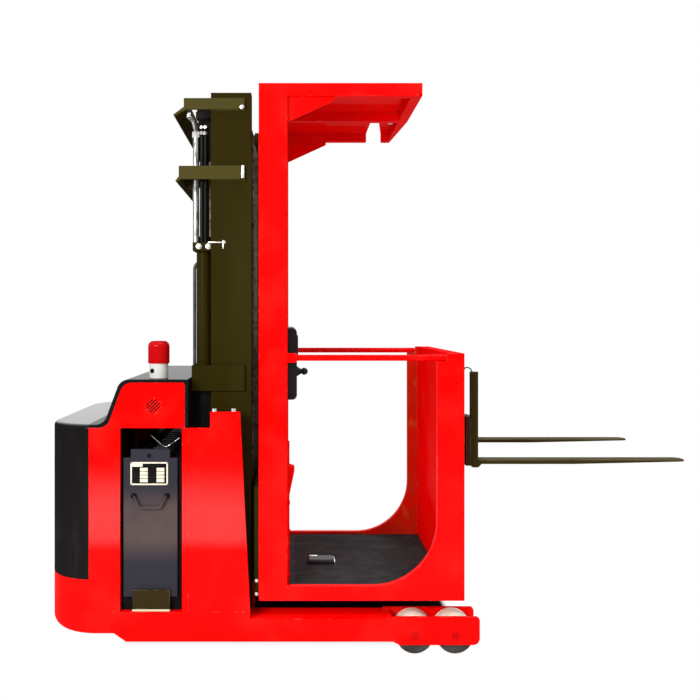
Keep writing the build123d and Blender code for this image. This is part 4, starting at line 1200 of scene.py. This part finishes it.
glass = Finish("glass", Roughness=0.12, Coat_Weight=0.5, Coat_Roughness=0.03)
film = glass.cloud(30.0, 0.4, 0.8)
glass.set({"Base Color": glass.mix(film, (0.012, 0.020, 0.018), (0.022, 0.030, 0.028))})
mesh = bmesh.new()
glass_low = (console_face, DISPLAY_Y[0] + BEZEL_WIDTH, DISPLAY_Z[0] + BEZEL_WIDTH)
glass_high = (console_face + GLASS_RISE, DISPLAY_Y[1] - BEZEL_WIDTH, DISPLAY_Z[1] - BEZEL_WIDTH)
add_block(mesh, glass_low, glass_high, 0.0008)
finished("console_display", mesh, glass, "platform")

mesh = bmesh.new()
add_steps(mesh, (console_face, KEY_Y, KEY_Z), FORWARD, KEY_STEPS)
finished("console_key", mesh, zinc, "platform")

mesh = bmesh.new()
add_round(mesh, (console_face, STOP_Y, STOP_Z), FORWARD, *STOP_COLLAR, 40)
finished("stop_collar", mesh, cream_print, "platform")
mesh = bmesh.new()
add_round(mesh, (console_face + STOP_BUTTON_SEAT, STOP_Y, STOP_Z), FORWARD, *STOP_BUTTON, 40)
finished("stop_button", mesh, red_lens, "platform")

# Platform's fasteners and welds: screws in the panel behind the operator's knees, weld beads where
# the front wall meets the side plates, painted-over bolts at the guard's front corners, and a lamp.
BACK_FACE_X = 0.948
BACK_SCREWS_Y, BACK_SCREWS_Z = (-0.36, -0.12, 0.12, 0.36), (0.270, 0.560)
BACK_SCREW = (0.009, 0.004, 0.002)
WALL_BEADS_Z = (0.245, 1.150)
WALL_BEAD = 0.004
GUARD_BOLTS_X = {-1: 1.455, 1: 1.4185}
GUARD_BOLT_Z = 2.172
GUARD_BOLT = 0.012
GUARD_LAMP_X, GUARD_LAMP_Y = 1.410, 0.124
GUARD_LAMP_STEPS = ((0.016, 0.005, 0.001), (0.012, 0.019, 0.005))

mesh = bmesh.new()
for y in BACK_SCREWS_Y:
    for z in BACK_SCREWS_Z:
        add_round(mesh, (rear + BACK_FACE_X, y, z), FORWARD, *BACK_SCREW)
finished("back_panel_screws", mesh, red_worn_painted_lit, "platform")

wall_low, wall_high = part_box("front_wall")
guard_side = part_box("guard_frame")[1].y
mesh = bmesh.new()
for side in SIDES:
    ends = [(wall_low.x, side * wall_high.y, z) for z in WALL_BEADS_Z]
    add_bead(mesh, *ends, WALL_BEAD)
    bolt_seat = (rear + GUARD_BOLTS_X[side], side * guard_side, GUARD_BOLT_Z)
    add_bolt(mesh, bolt_seat, (0, side, 0), GUARD_BOLT)
finished("platform_welds", mesh, red_enamel, "platform")

mesh = bmesh.new()
lamp_seat = (rear + GUARD_LAMP_X, GUARD_LAMP_Y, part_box("guard_roof")[0].z)
add_steps(mesh, lamp_seat, (0, 0, -1), GUARD_LAMP_STEPS)
finished("guard_lamp", mesh, pale_plastic, "platform")

# Forks and their carriage: forged steel in thin dark paint, worn bright along the blades' edges and
# rubbed paler on top by pallets, with weld beads down the shanks' inner edges and a bent wire pull on
# each shank's locking pin.
FORK_PAINT, FORK_DRAGGED, FORK_BARE = (0.037, 0.026, 0.006), (0.12, 0.105, 0.062), (0.20, 0.17, 0.11)
FORK_INNER_Y = 0.265
SHANK_REAR_X = 1.678
SHANK_BEAD_START = 0.02
PULL = ((1.688, 1.072), (1.685, 1.090), (1.670, 1.100), (1.656, 1.098), (1.653, 1.086))
PULL_Y = 0.335
PULL_RADIUS = 0.0024

fork_dark = Finish("fork_dark", Specular_IOR_Level=0.0, Coat_Weight=0.05, Coat_Roughness=0.3)
worn = fork_dark.edges(0.006) * fork_dark.cloud(24.0, 0.35, 0.65, stretch=(0.3, 1, 1))
dragged = fork_dark.upward() * (0.4 + fork_dark.cloud(20.0, 0.35, 0.7, stretch=(0.2, 1, 1)) * 0.6)
fork_colour = fork_dark.mix(dragged * 0.7, FORK_PAINT, FORK_DRAGGED)
fork_dark.set({
    "Base Color": fork_dark.mix(worn * 0.6, fork_colour, FORK_BARE),
    "Roughness": 0.45 - worn * 0.12,
    "Metallic": worn * 0.4,
    "Normal": fork_dark.grain(130.0, 0.0005, 0.4, 0.003),
})
dress(fork_dark, "forks", "fork_carriage")

carriage_low, carriage_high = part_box("fork_carriage")
shank_bead_z = (carriage_low.z + SHANK_BEAD_START, carriage_high.z)
mesh = bmesh.new()
pulls = bmesh.new()
for side in SIDES:
    add_bead(mesh, *((rear + SHANK_REAR_X, side * FORK_INNER_Y, z) for z in shank_bead_z))
    add_side_wire(pulls, side * PULL_Y, PULL, PULL_RADIUS)
finished("shank_welds", mesh, fork_dark, "fork_carriage")
finished("pin_pulls", pulls, dark_cast, "fork_carriage")

# Fork ram: a hard-chromed rod under a painted crosshead, with a port boss low on the barrel and a bent
# steel pipe that leads from it into the front wall.
CROSSHEAD = 0.030
RAM_X = 1.618
RAM_PORT_Y, RAM_PORT_Z = -0.030, 0.270
RAM_PORT = (0.012, 0.022, 0.001)
RAM_PIPE = ((RAM_X, -0.036), (RAM_X, -0.078), (1.612, -0.088), (1.586, -0.088))
RAM_PIPE_RADIUS = 0.0055

ram_chrome = Finish("ram_chrome")
oil = ram_chrome.cloud(22.0, 0.5, 0.75, stretch=(1, 1, 0.3))
painted = ram_chrome.axis("Z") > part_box("fork_ram_rod")[1].z - CROSSHEAD
ram_chrome.set({
    "Base Color": ram_chrome.mix(painted, ram_chrome.mix(oil, CHROME, CHROME_OILED), OLIVE_WORN),
    "Metallic": 1 - painted,
    "Roughness": 0.10 + oil * 0.2 + painted * 0.3,
})
dress(ram_chrome, "fork_ram_rod")

mesh = bmesh.new()
add_round(mesh, (rear + RAM_X, RAM_PORT_Y, RAM_PORT_Z), OUT_RIGHT, *RAM_PORT, 6)
add_wire(mesh, [(rear + x, y, RAM_PORT_Z) for x, y in RAM_PIPE], RAM_PIPE_RADIUS)
finished("ram_pipe", mesh, zinc, "platform")
